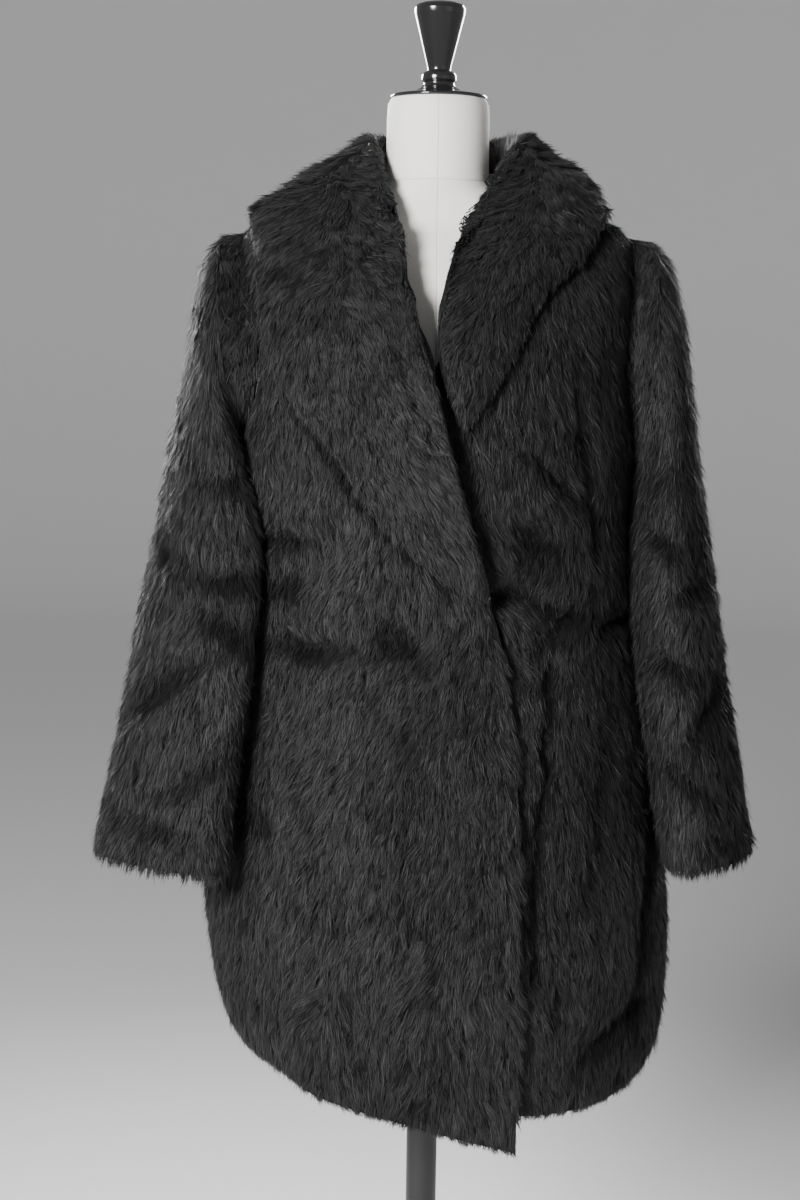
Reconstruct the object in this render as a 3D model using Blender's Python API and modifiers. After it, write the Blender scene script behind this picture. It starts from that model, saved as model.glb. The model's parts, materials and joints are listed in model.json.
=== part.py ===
"""A faux fur coat on a limbless dress form.

Metres, +Z up. The origin is the middle of the stand's underside, on the floor. The front looks along
-Y, and +X is the wearer's left. The trunk's angle is 0 at the left side seam, -90 degrees at the front
and 180 degrees at the right side seam. The coat's outer surface is where the tips of the fur lie.
"""

import math

import bmesh
import bpy
import numpy as np

# Cloth
BODY_WALL = 0.009  # backing and the pile that lies on it
COLLAR_WALL = 0.014  # two layers, with pile on both
SEAM_GAP = 0.0003
LYING_GAP = 0.0021  # under what lies on a curved panel, whose flat faces differ
COLLAR_GAP = 0.0027
SLEEVE_CLEAR = 0.004
REST_GAP = 0.0009  # between the coat's shoulders and the form

# Heights
HEM = 0.440
HEM_FADE = 0.30  # the hem's slope dies out over this height
NECKLINE = 1.347
ARM_TOP = 1.296
ARM_BOTTOM = 1.075
# How far each armhole reaches round from the side seam, to the front and to the back
ARM_HALF_ANGLES = {
    ("right", "front"): 29,
    ("right", "back"): 25,
    ("left", "front"): 17,
    ("left", "back"): 32,
}

# The edge of the right front laps over the left one
LAP_RAMP = 0.065
LAP_MARGIN = 0.012
LAP_TOP = 1.245
LAP_FULL = 1.165

# Form and stand
NECK_RADIUS = 0.0505
NECK_TOP = 1.4240
FORM_BOTTOM = 0.640
POLE_RADIUS = 0.0158
BASE_RADIUS = 0.190
BASE_THICK = 0.018
HUB_RADIUS = 0.030
HUB_TOP = 0.050

SQUARENESS = 2.12  # exponent of the oval sections, where 2 is an ellipse
OVAL_POWER = 2 / SQUARENESS
CHEST = 1.200  # the height at which the armholes' width is set
SIDE_REACH = 0.19  # how far the side seams lie from the middle
STEP = 1e-4  # for slopes taken by difference


class Table:
    """Rows of sizes with named columns, read smoothly at any value of the first column."""

    def __init__(self, columns, rows):
        self.columns = dict(zip(columns.split(), np.array(rows, float).T))
        self.key = next(iter(self.columns.values()))

    def read(self, column, at):
        at = np.clip(at, self.key[0], self.key[-1])
        values = self.columns[column]
        span = np.diff(self.key)
        rise = np.diff(values) / span
        slope = np.concatenate([rise[:1], np.zeros(len(rise) - 1), rise[-1:]])
        same_way = rise[:-1] * rise[1:] > 0
        total = np.where(same_way, rise[:-1] + rise[1:], 1)
        slope[1:-1] = np.where(same_way, 2 * rise[:-1] * rise[1:] / total, 0)
        i = np.clip(np.searchsorted(self.key, at, side="right") - 1, 0, len(rise) - 1)
        t = (at - self.key[i]) / span[i]
        keep = (1 + 2 * t) * (1 - t) ** 2 * values[i] + t * t * (3 - 2 * t) * values[i + 1]
        lean = t * (1 - t) ** 2 * slope[i] - t * t * (1 - t) * slope[i + 1]
        return keep + span[i] * lean


TRUNK = Table(
    "height half_width front back centre_x",
    [
        (0.440, 0.213, 0.159, 0.165, 0.018),
        (0.456, 0.222, 0.163, 0.172, 0.019),
        (0.500, 0.232, 0.166, 0.177, 0.016),
        (0.600, 0.238, 0.166, 0.177, 0.011),
        (0.700, 0.232, 0.162, 0.171, 0.007),
        (0.820, 0.218, 0.154, 0.158, 0.004),
        (0.950, 0.203, 0.146, 0.142, 0.001),
        (1.060, 0.195, 0.147, 0.133, 0.000),
        (1.140, 0.194, 0.148, 0.131, 0.000),
        (1.200, 0.196, 0.134, 0.125, 0.000),
        (1.250, 0.197, 0.106, 0.110, 0.000),
        (1.285, 0.195, 0.078, 0.089, 0.000),
        (1.303, 0.185, 0.064, 0.075, 0.000),
        (1.312, 0.160, 0.060, 0.071, 0.000),
        (1.322, 0.130, 0.057, 0.068, 0.000),
        (1.334, 0.098, 0.054, 0.065, 0.000),
        (1.347, 0.066, 0.052, 0.062, 0.000),
    ],
)
FORM = Table(
    "height half_width front back",
    [
        (0.646, 0.132, 0.084, 0.092),
        (0.660, 0.152, 0.096, 0.106),
        (0.720, 0.170, 0.104, 0.122),
        (0.800, 0.176, 0.106, 0.127),
        (0.900, 0.148, 0.098, 0.104),
        (0.985, 0.121, 0.088, 0.077),
        (1.070, 0.139, 0.108, 0.089),
        (1.140, 0.158, 0.124, 0.101),
        (1.200, 0.166, 0.112, 0.103),
        (1.250, 0.170, 0.085, 0.091),
        (1.278, 0.168, 0.062, 0.073),
    ],
)
FORM_AROUND = 32
UNDERSIDE_SHARE = 0.86
FORM_HEIGHTS = [0.646, 0.660, 0.690, 0.720, 0.760, 0.800, 0.850, 0.900, 0.945, 0.985, 1.030, 1.070]
FORM_HEIGHTS += [1.110, 1.140, 1.170, 1.200, 1.228, 1.255, 1.278]
# Heights under the coat's shoulders, each with the room it has there besides REST_GAP
SHOULDER_RINGS = [(1.303, 0.0), (1.312, 0.0), (1.322, 0.0006), (1.334, 0.0025), (1.3455, 0.0036)]
# Radius and height of each ring up the neck
NECK_RINGS = [
    (0.0525, 1.3450),
    (NECK_RADIUS + 0.0006, 1.353),
    (NECK_RADIUS, 1.375),
    (NECK_RADIUS, 1.405),
    (NECK_RADIUS - 0.0008, NECK_TOP - 0.0055),
    (NECK_RADIUS - 0.0040, NECK_TOP),
]
RIGHT_EDGE = Table(
    "height x",
    [
        (0.40, 0.091),
        (0.56, 0.093),
        (0.76, 0.087),
        (0.88, 0.074),
        (0.94, 0.059),
        (0.98, 0.038),
        (1.08, 0.012),
        (1.13, -0.002),
        (1.19, -0.015),
        (1.25, -0.032),
        (1.294, -0.042),
        (1.325, -0.054),
        (1.347, -0.063),
    ],
)
LEFT_EDGE = Table(
    "height x",
    [
        (0.40, -0.088),
        (0.80, -0.088),
        (0.95, -0.066),
        (1.06, -0.045),
        (1.13, -0.022),
        (1.19, 0.002),
        (1.22, 0.010),
        (1.253, 0.018),
        (1.293, 0.034),
        (1.325, 0.052),
        (1.347, 0.063),
    ],
)
ROW_HEIGHTS = [0.440, 0.450, 0.470, 0.505, 0.555, 0.605, 0.655, 0.705, 0.755, 0.805, 0.850]
ROW_HEIGHTS += [0.880, 0.905, 0.930, 0.955, 0.982, 1.010, 1.042]
SHOULDER_HEIGHTS = [1.303, 1.312, 1.322, 1.334, NECKLINE]
ARM_ROWS = 10

# How far each piece's hem lies above HEM, at its first side, its middle and its last side
HEM_RISE = {
    "back": (0.036, 0.040, 0.044),
    "front_left": (0.036, -0.004, 0.030),
    "front_right": (0.044, 0.018, -0.034),
}

# Soft creases on the fronts: x and height of the middle, half length, half width, slope, depth
FRONT_CREASES = [
    (-0.135, 0.906, 0.060, 0.017, 0.06, 0.0060),
    (-0.040, 0.925, 0.028, 0.016, -0.30, 0.0040),
    (-0.150, 1.008, 0.035, 0.014, 0.10, 0.0035),
    (-0.125, 0.962, 0.030, 0.014, 0.05, 0.0030),
    (0.110, 0.935, 0.055, 0.018, 0.45, 0.0050),
    (0.075, 1.020, 0.040, 0.022, -0.50, 0.0050),
    (0.150, 0.800, 0.012, 0.150, 0.00, 0.0045),
]
# Soft folds across the sleeves: height of the middle, half width, depth, the way round they are deepest
SLEEVE_FOLDS = [
    (1.060, 0.022, 0.0035, 20),
    (0.985, 0.020, 0.0050, 60),
    (0.925, 0.022, 0.0055, 100),
    (0.868, 0.018, 0.0040, 40),
    (0.775, 0.024, 0.0030, 120),
]

# Each row of a sleeve is a ring between its outermost and its innermost point. Its fullness is how far
# it stands out between its innermost and its foremost point
SLEEVE_COLUMNS = "row outer_x outer_y outer_z inner_x inner_y inner_z half_depth fullness"
SLEEVE_RIGHT = Table(
    SLEEVE_COLUMNS,
    [
        (1, 0.214, 0.000, 1.290, 0.200, -0.004, 1.051, 0.078, 0.004),
        (2, 0.231, 0.002, 1.262, 0.197, -0.014, 1.026, 0.080, 0.018),
        (3, 0.243, 0.008, 1.212, 0.190, -0.036, 0.992, 0.077, 0.028),
        (4, 0.255, 0.010, 1.135, 0.180, -0.064, 0.953, 0.071, 0.026),
        (5, 0.269, 0.006, 1.055, 0.173, -0.086, 0.918, 0.064, 0.016),
        (6, 0.285, -0.004, 0.975, 0.172, -0.097, 0.883, 0.058, 0.007),
        (7, 0.298, -0.016, 0.895, 0.176, -0.103, 0.836, 0.053, 0.002),
        (8, 0.311, -0.030, 0.815, 0.183, -0.107, 0.780, 0.048, 0.000),
        (9, 0.326, -0.048, 0.732, 0.189, -0.113, 0.712, 0.043, 0.000),
        (10, 0.337, -0.064, 0.680, 0.193, -0.116, 0.668, 0.041, 0.000),
    ],
)
SLEEVE_LEFT = Table(
    SLEEVE_COLUMNS,
    [
        (1, 0.217, 0.004, 1.290, 0.200, 0.000, 1.052, 0.076, 0.000),
        (2, 0.235, 0.003, 1.264, 0.203, -0.002, 1.030, 0.082, 0.000),
        (3, 0.247, 0.000, 1.215, 0.203, -0.005, 1.003, 0.087, 0.000),
        (4, 0.258, -0.003, 1.140, 0.202, -0.012, 0.968, 0.090, 0.000),
        (5, 0.269, -0.006, 1.060, 0.202, -0.022, 0.930, 0.088, 0.000),
        (6, 0.282, -0.010, 0.982, 0.203, -0.034, 0.888, 0.082, 0.000),
        (7, 0.295, -0.016, 0.900, 0.207, -0.048, 0.838, 0.076, 0.000),
        (8, 0.306, -0.024, 0.820, 0.214, -0.060, 0.780, 0.070, 0.000),
        (9, 0.319, -0.034, 0.740, 0.226, -0.068, 0.716, 0.065, 0.000),
        (10, 0.329, -0.040, 0.686, 0.233, -0.071, 0.671, 0.061, 0.000),
    ],
)
SLEEVE_STEPS = 2  # rings per row of the table
CUFF_EDGE = 0.18  # how far before the last row the cuff begins to be rounded, in rows
# The sleeve leaves its armhole by this much before it turns down
ARM_STEP_OUT = 0.0050
ARM_STEP_DOWN = 0.0015

# The collar round the neck: where its roll is highest, and where its outer edge lies
COLLAR_NECK_RIGHT = [
    (0.000, 0.084, 1.386, 0.000, 1.262, 1),
    (-0.038, 0.077, 1.387, -0.080, 1.268, 1),
    (-0.060, 0.047, 1.387, -0.146, 1.280, 1),
    (-0.068, 0.008, 1.387, -0.178, 1.3055, 1),
    (-0.065, -0.030, 1.367, -0.174, 1.276, -1),
]
COLLAR_NECK_LEFT = [
    (0.000, 0.084, 1.386, 0.000, 1.262, 1),
    (0.046, 0.076, 1.388, 0.080, 1.268, 1),
    (0.076, 0.047, 1.389, 0.146, 1.280, 1),
    (0.088, 0.008, 1.388, 0.170, 1.3085, 1),
    (0.078, -0.030, 1.368, 0.154, 1.290, -1),
]
# The collar down the fronts: the roll's height and x, and its outer edge's
LAPEL_RIGHT = [
    (1.318, -0.049, -0.169, 1.238),
    (1.270, -0.037, -0.164, 1.196),
    (1.216, -0.024, -0.152, 1.158),
    (1.158, -0.006, -0.128, 1.122),
    (1.109, 0.007, -0.100, 1.090),
    (1.051, 0.022, -0.062, 1.034),
    (1.000, 0.036, -0.018, 0.988),
    (0.966, 0.046, 0.020, 0.960),
    (0.948, 0.052, 0.041, 0.946),
]
LAPEL_LEFT = [
    (1.330, 0.053, 0.136, 1.262),
    (1.300, 0.038, 0.116, 1.246),
    (1.268, 0.021, 0.096, 1.220),
    (1.238, 0.010, 0.081, 1.190),
    (1.208, 0.004, 0.067, 1.164),
    (1.176, 0.003, 0.051, 1.138),
    (1.140, 0.011, 0.037, 1.118),
    (1.114, 0.020, 0.030, 1.106),
]
COLLAR_ACROSS = 12
STAND_SHARE = 0.965  # the foot of the stand lies a little inside the neckline
STAND_GAP = 0.0026
SHOULDER_EASE = 0.0015  # more room where the collar crosses the shoulder
LAPEL_TURN = 0.003  # how far the stand reaches beyond the roll, down the front
FALL_BULGE = {-1: 0.000, 1: 0.006}  # how far each half stands out between its roll and its edge
# How thick a free edge is, from the edge inwards, as a share of the wall
EDGE_ROUNDING = (0.42, 0.86)
# Where the narrow columns or rows at a free edge lie, as shares of the way across or along
PANEL_EDGE = (0.955, 0.987, 1.0)
COLLAR_STAND_EDGE = (0.0, 0.028, 0.075)
COLLAR_FALL_EDGE = (0.93, 0.975, 1.0)
COLLAR_END = (0.965, 0.99, 1.0)
COLLAR_TURNED_OVER = 0.3  # the share across beyond which it has rolled over and lies on the coat

# The turned cap on the neck: radius and height of each point, from the top down
CAP_FOOT = NECK_TOP + SEAM_GAP
CAP_PROFILE = [
    (0.0000, CAP_FOOT + 0.0930),
    (0.0160, CAP_FOOT + 0.0922),
    (0.0230, CAP_FOOT + 0.0898),
    (0.0252, CAP_FOOT + 0.0858),
    (0.0246, CAP_FOOT + 0.0810),
    (0.0118, CAP_FOOT + 0.0310),
    (0.0114, CAP_FOOT + 0.0270),
    (0.0150, CAP_FOOT + 0.0254),
    (0.0172, CAP_FOOT + 0.0224),
    (0.0172, CAP_FOOT + 0.0180),
    (0.0150, CAP_FOOT + 0.0150),
    (0.0158, CAP_FOOT + 0.0130),
    (0.0180, CAP_FOOT + 0.0106),
    (0.0250, CAP_FOOT + 0.0070),
    (0.0400, CAP_FOOT + 0.0044),
    (0.0462, CAP_FOOT + 0.0034),
    (0.0477, CAP_FOOT + 0.0018),
    (0.0470, CAP_FOOT),
    (0.0000, CAP_FOOT),
]
BASE_BEVEL = 0.003
BASE_PROFILE = [
    (0.0, HUB_TOP),
    (HUB_RADIUS - BASE_BEVEL, HUB_TOP),
    (HUB_RADIUS, HUB_TOP - BASE_BEVEL),
    (HUB_RADIUS + 0.001, BASE_THICK + 0.010),
    (HUB_RADIUS + 0.008, BASE_THICK + 0.003),
    (BASE_RADIUS * 0.90, BASE_THICK),
    (BASE_RADIUS - BASE_BEVEL, BASE_THICK - 0.002),
    (BASE_RADIUS, BASE_THICK - 0.002 - BASE_BEVEL),
    (BASE_RADIUS, BASE_BEVEL),
    (BASE_RADIUS - BASE_BEVEL, 0.0),
    (0.0, 0.0),
]

# Colour, roughness and metallic value of each material
MATERIALS = {
    "fur": ((0.030, 0.030, 0.031, 1), 0.75, 0.0),
    "jersey": ((0.74, 0.73, 0.70, 1), 0.80, 0.0),
    "lacquer": ((0.012, 0.012, 0.013, 1), 0.18, 0.0),
    "painted_steel": ((0.020, 0.020, 0.021, 1), 0.40, 0.6),
}


def ease(t):
    t = np.clip(t, 0, 1)
    return t * t * (3 - 2 * t)


def unit(vectors):
    return vectors / np.linalg.norm(vectors, axis=-1, keepdims=True)


def oval(sizes, height, angle):
    """A point of the oval section that sizes has at this height."""
    height, angle = np.broadcast_arrays(np.asarray(height, float), angle)
    across, along = np.cos(angle), np.sin(angle)
    depth = np.where(along < 0, sizes.read("front", height), sizes.read("back", height))
    x = sizes.read("half_width", height) * np.sign(across) * np.abs(across) ** OVAL_POWER
    if "centre_x" in sizes.columns:
        x = x + sizes.read("centre_x", height)
    y = depth * np.sign(along) * np.abs(along) ** OVAL_POWER
    return np.stack([x, y, height], axis=-1)


def trunk_normal(height, angle):
    height = np.clip(height, HEM + 2 * STEP, NECKLINE - 2 * STEP)
    turn = oval(TRUNK, height, angle + STEP) - oval(TRUNK, height, angle - STEP)
    climb = oval(TRUNK, height + STEP, angle) - oval(TRUNK, height - STEP, angle)
    return unit(np.cross(turn, climb))


def trunk_point(height, angle, lift=0.0, rise=0.0):
    """A point of the body, lifted off the tips' surface along its normal. Near the hem it goes up by rise."""
    height, angle, lift, rise = np.broadcast_arrays(height, angle, lift, rise)
    point = oval(TRUNK, height, angle) + lift[..., None] * trunk_normal(height, angle)
    point[..., 2] += rise * ease(1 - (height - HEM) / HEM_FADE)
    return point


def angle_at(x, height, face=-1):
    """The trunk's angle at x, on its front (face -1) or its back (1)."""
    share = (x - TRUNK.read("centre_x", height)) / TRUNK.read("half_width", height)
    share = np.clip(share, -1, 1)
    return face * np.arccos(np.sign(share) * np.abs(share) ** (SQUARENESS / 2))


def trunk_distance(points):
    """How far points lie outside the tips' surface, roughly, and the way out."""

    def depth_ratio(p):
        height = np.clip(p[..., 2], HEM, NECKLINE)
        depth = np.where(p[..., 1] < 0, TRUNK.read("front", height), TRUNK.read("back", height))
        across = np.abs(p[..., 0] - TRUNK.read("centre_x", height)) / TRUNK.read("half_width", height)
        return (across**SQUARENESS + np.abs(p[..., 1] / depth) ** SQUARENESS) ** (1 / SQUARENESS) - 1

    here = depth_ratio(points)
    steps = STEP * np.eye(3)
    slope = np.stack([(depth_ratio(points + s) - depth_ratio(points - s)) / (2 * STEP) for s in steps], -1)
    steepness = np.linalg.norm(slope, axis=-1)
    return here / steepness, slope / steepness[..., None]


def pushed_clear(points, clearance):
    """Points moved out until they lie this far outside the body's surface."""
    points = points.copy()
    for _ in range(6):
        distance, way_out = trunk_distance(points)
        short = np.where(points[..., 2] < NECKLINE, np.clip(clearance - distance, 0, None), 0)
        points += short[..., None] * way_out
    return points


def lap(x, height):
    """How far the right front is lifted, to lie on the left one."""
    start = LEFT_EDGE.read("x", height) - LAP_RAMP
    across = ease((x - start) / (LAP_RAMP - LAP_MARGIN))
    return (BODY_WALL + LYING_GAP) * across * ease((LAP_TOP - height) / (LAP_TOP - LAP_FULL))


def front_crease(x, height):
    depth = np.zeros(np.broadcast(x, height).shape)
    for middle_x, middle, half_length, half_width, slope, most in FRONT_CREASES:
        along = (x - middle_x) / half_length
        across = (height - middle - slope * (x - middle_x)) / half_width
        depth = depth + most * np.exp(-(along**2) - across**2)
    return -depth


def wall_bmesh(outer, inner, tube):
    """One closed wall between two grids of points. A tube's columns join up, and its ends are open."""
    rows, columns = outer.shape[:2]
    mesh = bmesh.new()
    sides = [[[mesh.verts.new(point) for point in row] for row in grid] for grid in (outer, inner)]
    last = columns if tube else columns - 1
    for grid in sides:
        for i in range(rows - 1):
            for j in range(last):
                k = (j + 1) % columns
                mesh.faces.new((grid[i][j], grid[i][k], grid[i + 1][k], grid[i + 1][j]))
    out, into = sides
    rims = [[(out[i][j], into[i][j]) for j in range(columns)] for i in (0, rows - 1)]
    if tube:
        rims = [rim + rim[:1] for rim in rims]
    else:
        rims += [[(out[i][j], into[i][j]) for i in range(rows)] for j in (0, columns - 1)]
    for rim in rims:
        for (a, b), (c, d) in zip(rim, rim[1:]):
            # Both pieces at a seam split its faces along the same diagonal
            if c.co.z < a.co.z:
                a, b, c, d = c, d, a, b
            mesh.faces.new((a, b, d))
            mesh.faces.new((a, d, c))
    bmesh.ops.recalc_face_normals(mesh, faces=mesh.faces)
    return mesh


def add_object(name, mesh, material, collection, smooth_angle=40):
    data = bpy.data.meshes.new(name)
    mesh.to_mesh(data)
    mesh.free()
    data.materials.append(material)
    data.shade_smooth()
    data.set_sharp_from_angle(angle=math.radians(smooth_angle))
    made = bpy.data.objects.new(name, data)
    collection.objects.link(made)
    return made


def edge_shares(count, near, far):
    """The wall's share of its thickness in each of count rows, rounded at an end that is free."""
    shares = np.ones(count)
    if near:
        shares[: len(EDGE_ROUNDING)] = EDGE_ROUNDING
    if far:
        shares[-len(EDGE_ROUNDING) :] = EDGE_ROUNDING[::-1]
    return shares


def arm_turns(count=ARM_ROWS):
    """Angles up one side of an armhole's oval, from its lowest point to its highest."""
    return np.linspace(0, math.pi, count + 1)


def arm_oval(turns, shrink, side, face):
    """Height and angle from the side seam of points of an armhole, made smaller all round by shrink."""
    half_height = (ARM_TOP - ARM_BOTTOM) / 2 - shrink
    half_angle = math.radians(ARM_HALF_ANGLES[side, face]) - shrink / TRUNK.read("front", CHEST)
    height = (ARM_TOP + ARM_BOTTOM) / 2 - half_height * np.cos(turns)
    return height, half_angle * np.abs(np.sin(turns))


def body_rows(shrink, side, face):
    """Height of each of the body's rows, and the angle from the side seam at which it begins."""
    heights, sides = arm_oval(arm_turns(), shrink - SEAM_GAP / 2, side, face)
    seam_angle = SEAM_GAP / 2 / SIDE_REACH
    sides = np.maximum(sides, seam_angle)
    below, above = np.array(ROW_HEIGHTS), np.array(SHOULDER_HEIGHTS)
    heights = np.concatenate([below, heights, above])
    sides = np.concatenate([np.full(len(below), seam_angle), sides, np.full(len(above), seam_angle)])
    return heights, sides


def spread_columns(columns, free_side):
    """Where the columns lie between a panel's ends, as shares. They are narrow at a free edge."""
    if not free_side:
        return np.linspace(0, 1, columns + 1)
    wide = np.linspace(0, PANEL_EDGE[0], columns - 1)
    return np.concatenate([wide, PANEL_EDGE[1:]])


def body_panel(name, columns, ends_at, lift_at, free_side, collection, material):
    """A front or the back. ends_at gives each row's height and its first and last angle."""
    grids = []
    rows_count = len(ROW_HEIGHTS) + ARM_ROWS + 1 + len(SHOULDER_HEIGHTS)
    up = edge_shares(rows_count, near=True, far=False)[:, None]
    across = edge_shares(columns + 1, near=False, far=free_side)[None, :]
    thin = (1 - np.minimum(up, across)) / 2 * BODY_WALL
    for depth, shrink in ((0.0, 0.0), (BODY_WALL, BODY_WALL)):
        heights, first, last = ends_at(shrink)
        share = spread_columns(columns, free_side)[None, :]
        angles = first[:, None] + (last - first)[:, None] * share
        heights = heights[:, None] + 0 * angles
        x = oval(TRUNK, heights, angles)[..., 0]
        lift = lift_at(x, heights) + np.where(depth, -BODY_WALL + thin, -thin)
        start, middle, end = HEM_RISE[name]
        rise = start * (1 - share) * (1 - 2 * share) + end * share * (2 * share - 1)
        rise = rise + middle * 4 * share * (1 - share)
        grids.append(trunk_point(heights, angles, lift, rise))
    return add_object(name, wall_bmesh(*grids, tube=False), material, collection)


def build_body(collection, material):
    def back_ends(shrink):
        heights, left = body_rows(shrink, "left", "back")
        heights, right = body_rows(shrink, "right", "back")
        return heights, left, math.pi - right

    def left_ends(shrink):
        heights, sides = body_rows(shrink, "left", "front")
        return heights, -sides, angle_at(LEFT_EDGE.read("x", heights), heights)

    def right_ends(shrink):
        heights, sides = body_rows(shrink, "right", "front")
        return heights, sides - math.pi, angle_at(RIGHT_EDGE.read("x", heights), heights)

    def plain(x, height):
        return 0 * x

    def right_lift(x, height):
        return lap(x, height) + front_crease(x, height)

    body_panel("back", 20, back_ends, plain, False, collection, material)
    body_panel("front_left", 11, left_ends, front_crease, True, collection, material)
    body_panel("front_right", 12, right_ends, right_lift, True, collection, material)


def sleeve_fold(height, turn):
    depth = np.zeros(np.broadcast(height, turn).shape)
    for middle, half_width, most, deepest in SLEEVE_FOLDS:
        round_share = 0.5 + 0.5 * np.cos(turn - math.radians(deepest))
        depth = depth + most * round_share * np.exp(-(((height - middle) / half_width) ** 2))
    return depth


def armhole_ring(turns, side, lift, shrink):
    """The armhole's points on the body, from its lowest one round by the front."""
    word = "left" if side > 0 else "right"
    height, front = arm_oval(np.abs(turns), shrink, word, "front")
    height, back = arm_oval(np.abs(turns), shrink, word, "back")
    from_seam = np.where(turns > 0, front, -back)
    angle = -from_seam if side > 0 else math.pi + from_seam
    return trunk_point(height, angle, lift)


def build_sleeve(name, side, sizes, collection, material):
    """A set-in sleeve: rings from the armhole to the open cuff. side is 1 for the wearer's left."""
    turns = np.concatenate([arm_turns(), -arm_turns()[-2:0:-1]])
    rows = np.linspace(1, sizes.key[-1], SLEEVE_STEPS * (len(sizes.key) - 1) + 1)
    rows = np.append(rows[:-1], [rows[-1] - CUFF_EDGE, rows[-1]])
    cross, down = -np.cos(turns), np.sin(turns)
    inner_front = np.where((turns > 0) & (turns < math.pi / 2), np.sin(2 * turns), 0)

    def read(column):
        return sizes.read(column, rows)[:, None]

    middle = {axis: (read("outer_" + axis) + read("inner_" + axis)) / 2 for axis in "xyz"}
    half = {axis: (read("outer_" + axis) - read("inner_" + axis)) / 2 for axis in "xyz"}
    wide = np.sign(cross) * np.abs(cross) ** OVAL_POWER
    x, y, z = (middle[axis] + half[axis] * wide for axis in "xyz")
    y = y - read("half_depth") * np.sign(down) * np.abs(down) ** OVAL_POWER
    x = x - read("fullness") * inner_front
    outer = np.stack([side * x, y, z], axis=-1)
    outer = pushed_clear(outer, SLEEVE_CLEAR)
    start = armhole_ring(turns, side, 0.0, SEAM_GAP / 2)
    mouth = start + [side * ARM_STEP_OUT, 0, -ARM_STEP_DOWN]
    whole = np.concatenate([start[None], mouth[None], outer])

    next_round = np.roll(whole, -1, axis=1) - np.roll(whole, 1, axis=1)
    along = np.gradient(whole, axis=0)
    inward = unit(np.cross(next_round, along)) * side
    centre = whole.mean(axis=1, keepdims=True)
    if ((centre - whole)[4:] * inward[4:]).sum() < 0:
        inward = -inward
    inward[1] = unit((mouth.mean(axis=0) - mouth) * [0, 1, 1])
    fold = sleeve_fold(whole[..., 2], turns[None, :])[..., None] * inward
    fold[:2] = 0
    thin = (1 - edge_shares(len(whole), near=False, far=True)) / 2 * BODY_WALL
    skin = whole + fold + inward * thin[:, None, None]
    lining = whole + fold + inward * (BODY_WALL - thin)[:, None, None]
    skin[0] = start
    lining[0] = armhole_ring(turns, side, -BODY_WALL, BODY_WALL + SEAM_GAP / 2)
    skin[1:] = pushed_clear(skin[1:], SLEEVE_CLEAR / 2)
    return add_object(name, wall_bmesh(skin, lining, tube=True), material, collection)


def lift_under_collar(side, x, height):
    """How high the panel under the collar lies above the body's plain surface."""
    return lap(x, height - COLLAR_WALL) if side < 0 else 0 * x


def collar_rows(side, neck, lapel):
    """Stations along half a collar: the foot of its stand, its roll, a point halfway and its outer edge."""
    stations = []
    on_panel = COLLAR_WALL / 2 + COLLAR_GAP
    for roll_x, roll_y, roll_z, edge_x, edge_z, face in neck:
        roll = np.array([roll_x, roll_y, roll_z])
        edge = trunk_point(edge_z, angle_at(edge_x, edge_z, face), on_panel + SHOULDER_EASE)
        foot = oval(TRUNK, NECKLINE, math.atan2(roll_y, roll_x)) * [STAND_SHARE, STAND_SHARE, 1]
        foot[2] += STAND_GAP
        outward = unit((edge + roll) * [1, 1, 0]) + np.array([0, 0, 0.8])
        middle = (roll + edge) / 2 + FALL_BULGE[side] * unit(outward)
        stations.append((foot, roll, middle, edge))
    for roll_z, roll_x, edge_x, edge_z in lapel:
        ends = []
        for x, height in ((roll_x, roll_z), ((roll_x + edge_x) / 2, (roll_z + edge_z) / 2), (edge_x, edge_z)):
            lift = on_panel + lift_under_collar(side, x, height)
            ends.append(trunk_point(height, angle_at(x, height), lift))
        roll, middle, edge = ends
        foot = roll + LAPEL_TURN * unit(roll - middle)
        stations.append((foot, roll, middle, edge))
    return np.array(stations)


def smooth_between(points, at):
    """Points read smoothly at shares of the way along a row of them."""
    lengths = np.linalg.norm(np.diff(points, axis=0), axis=-1)
    key = np.concatenate([[0], np.cumsum(lengths)])
    table = Table("along x y z", np.column_stack([key / key[-1], points]))
    return np.stack([table.read(axis, at) for axis in "xyz"], axis=-1)


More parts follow.
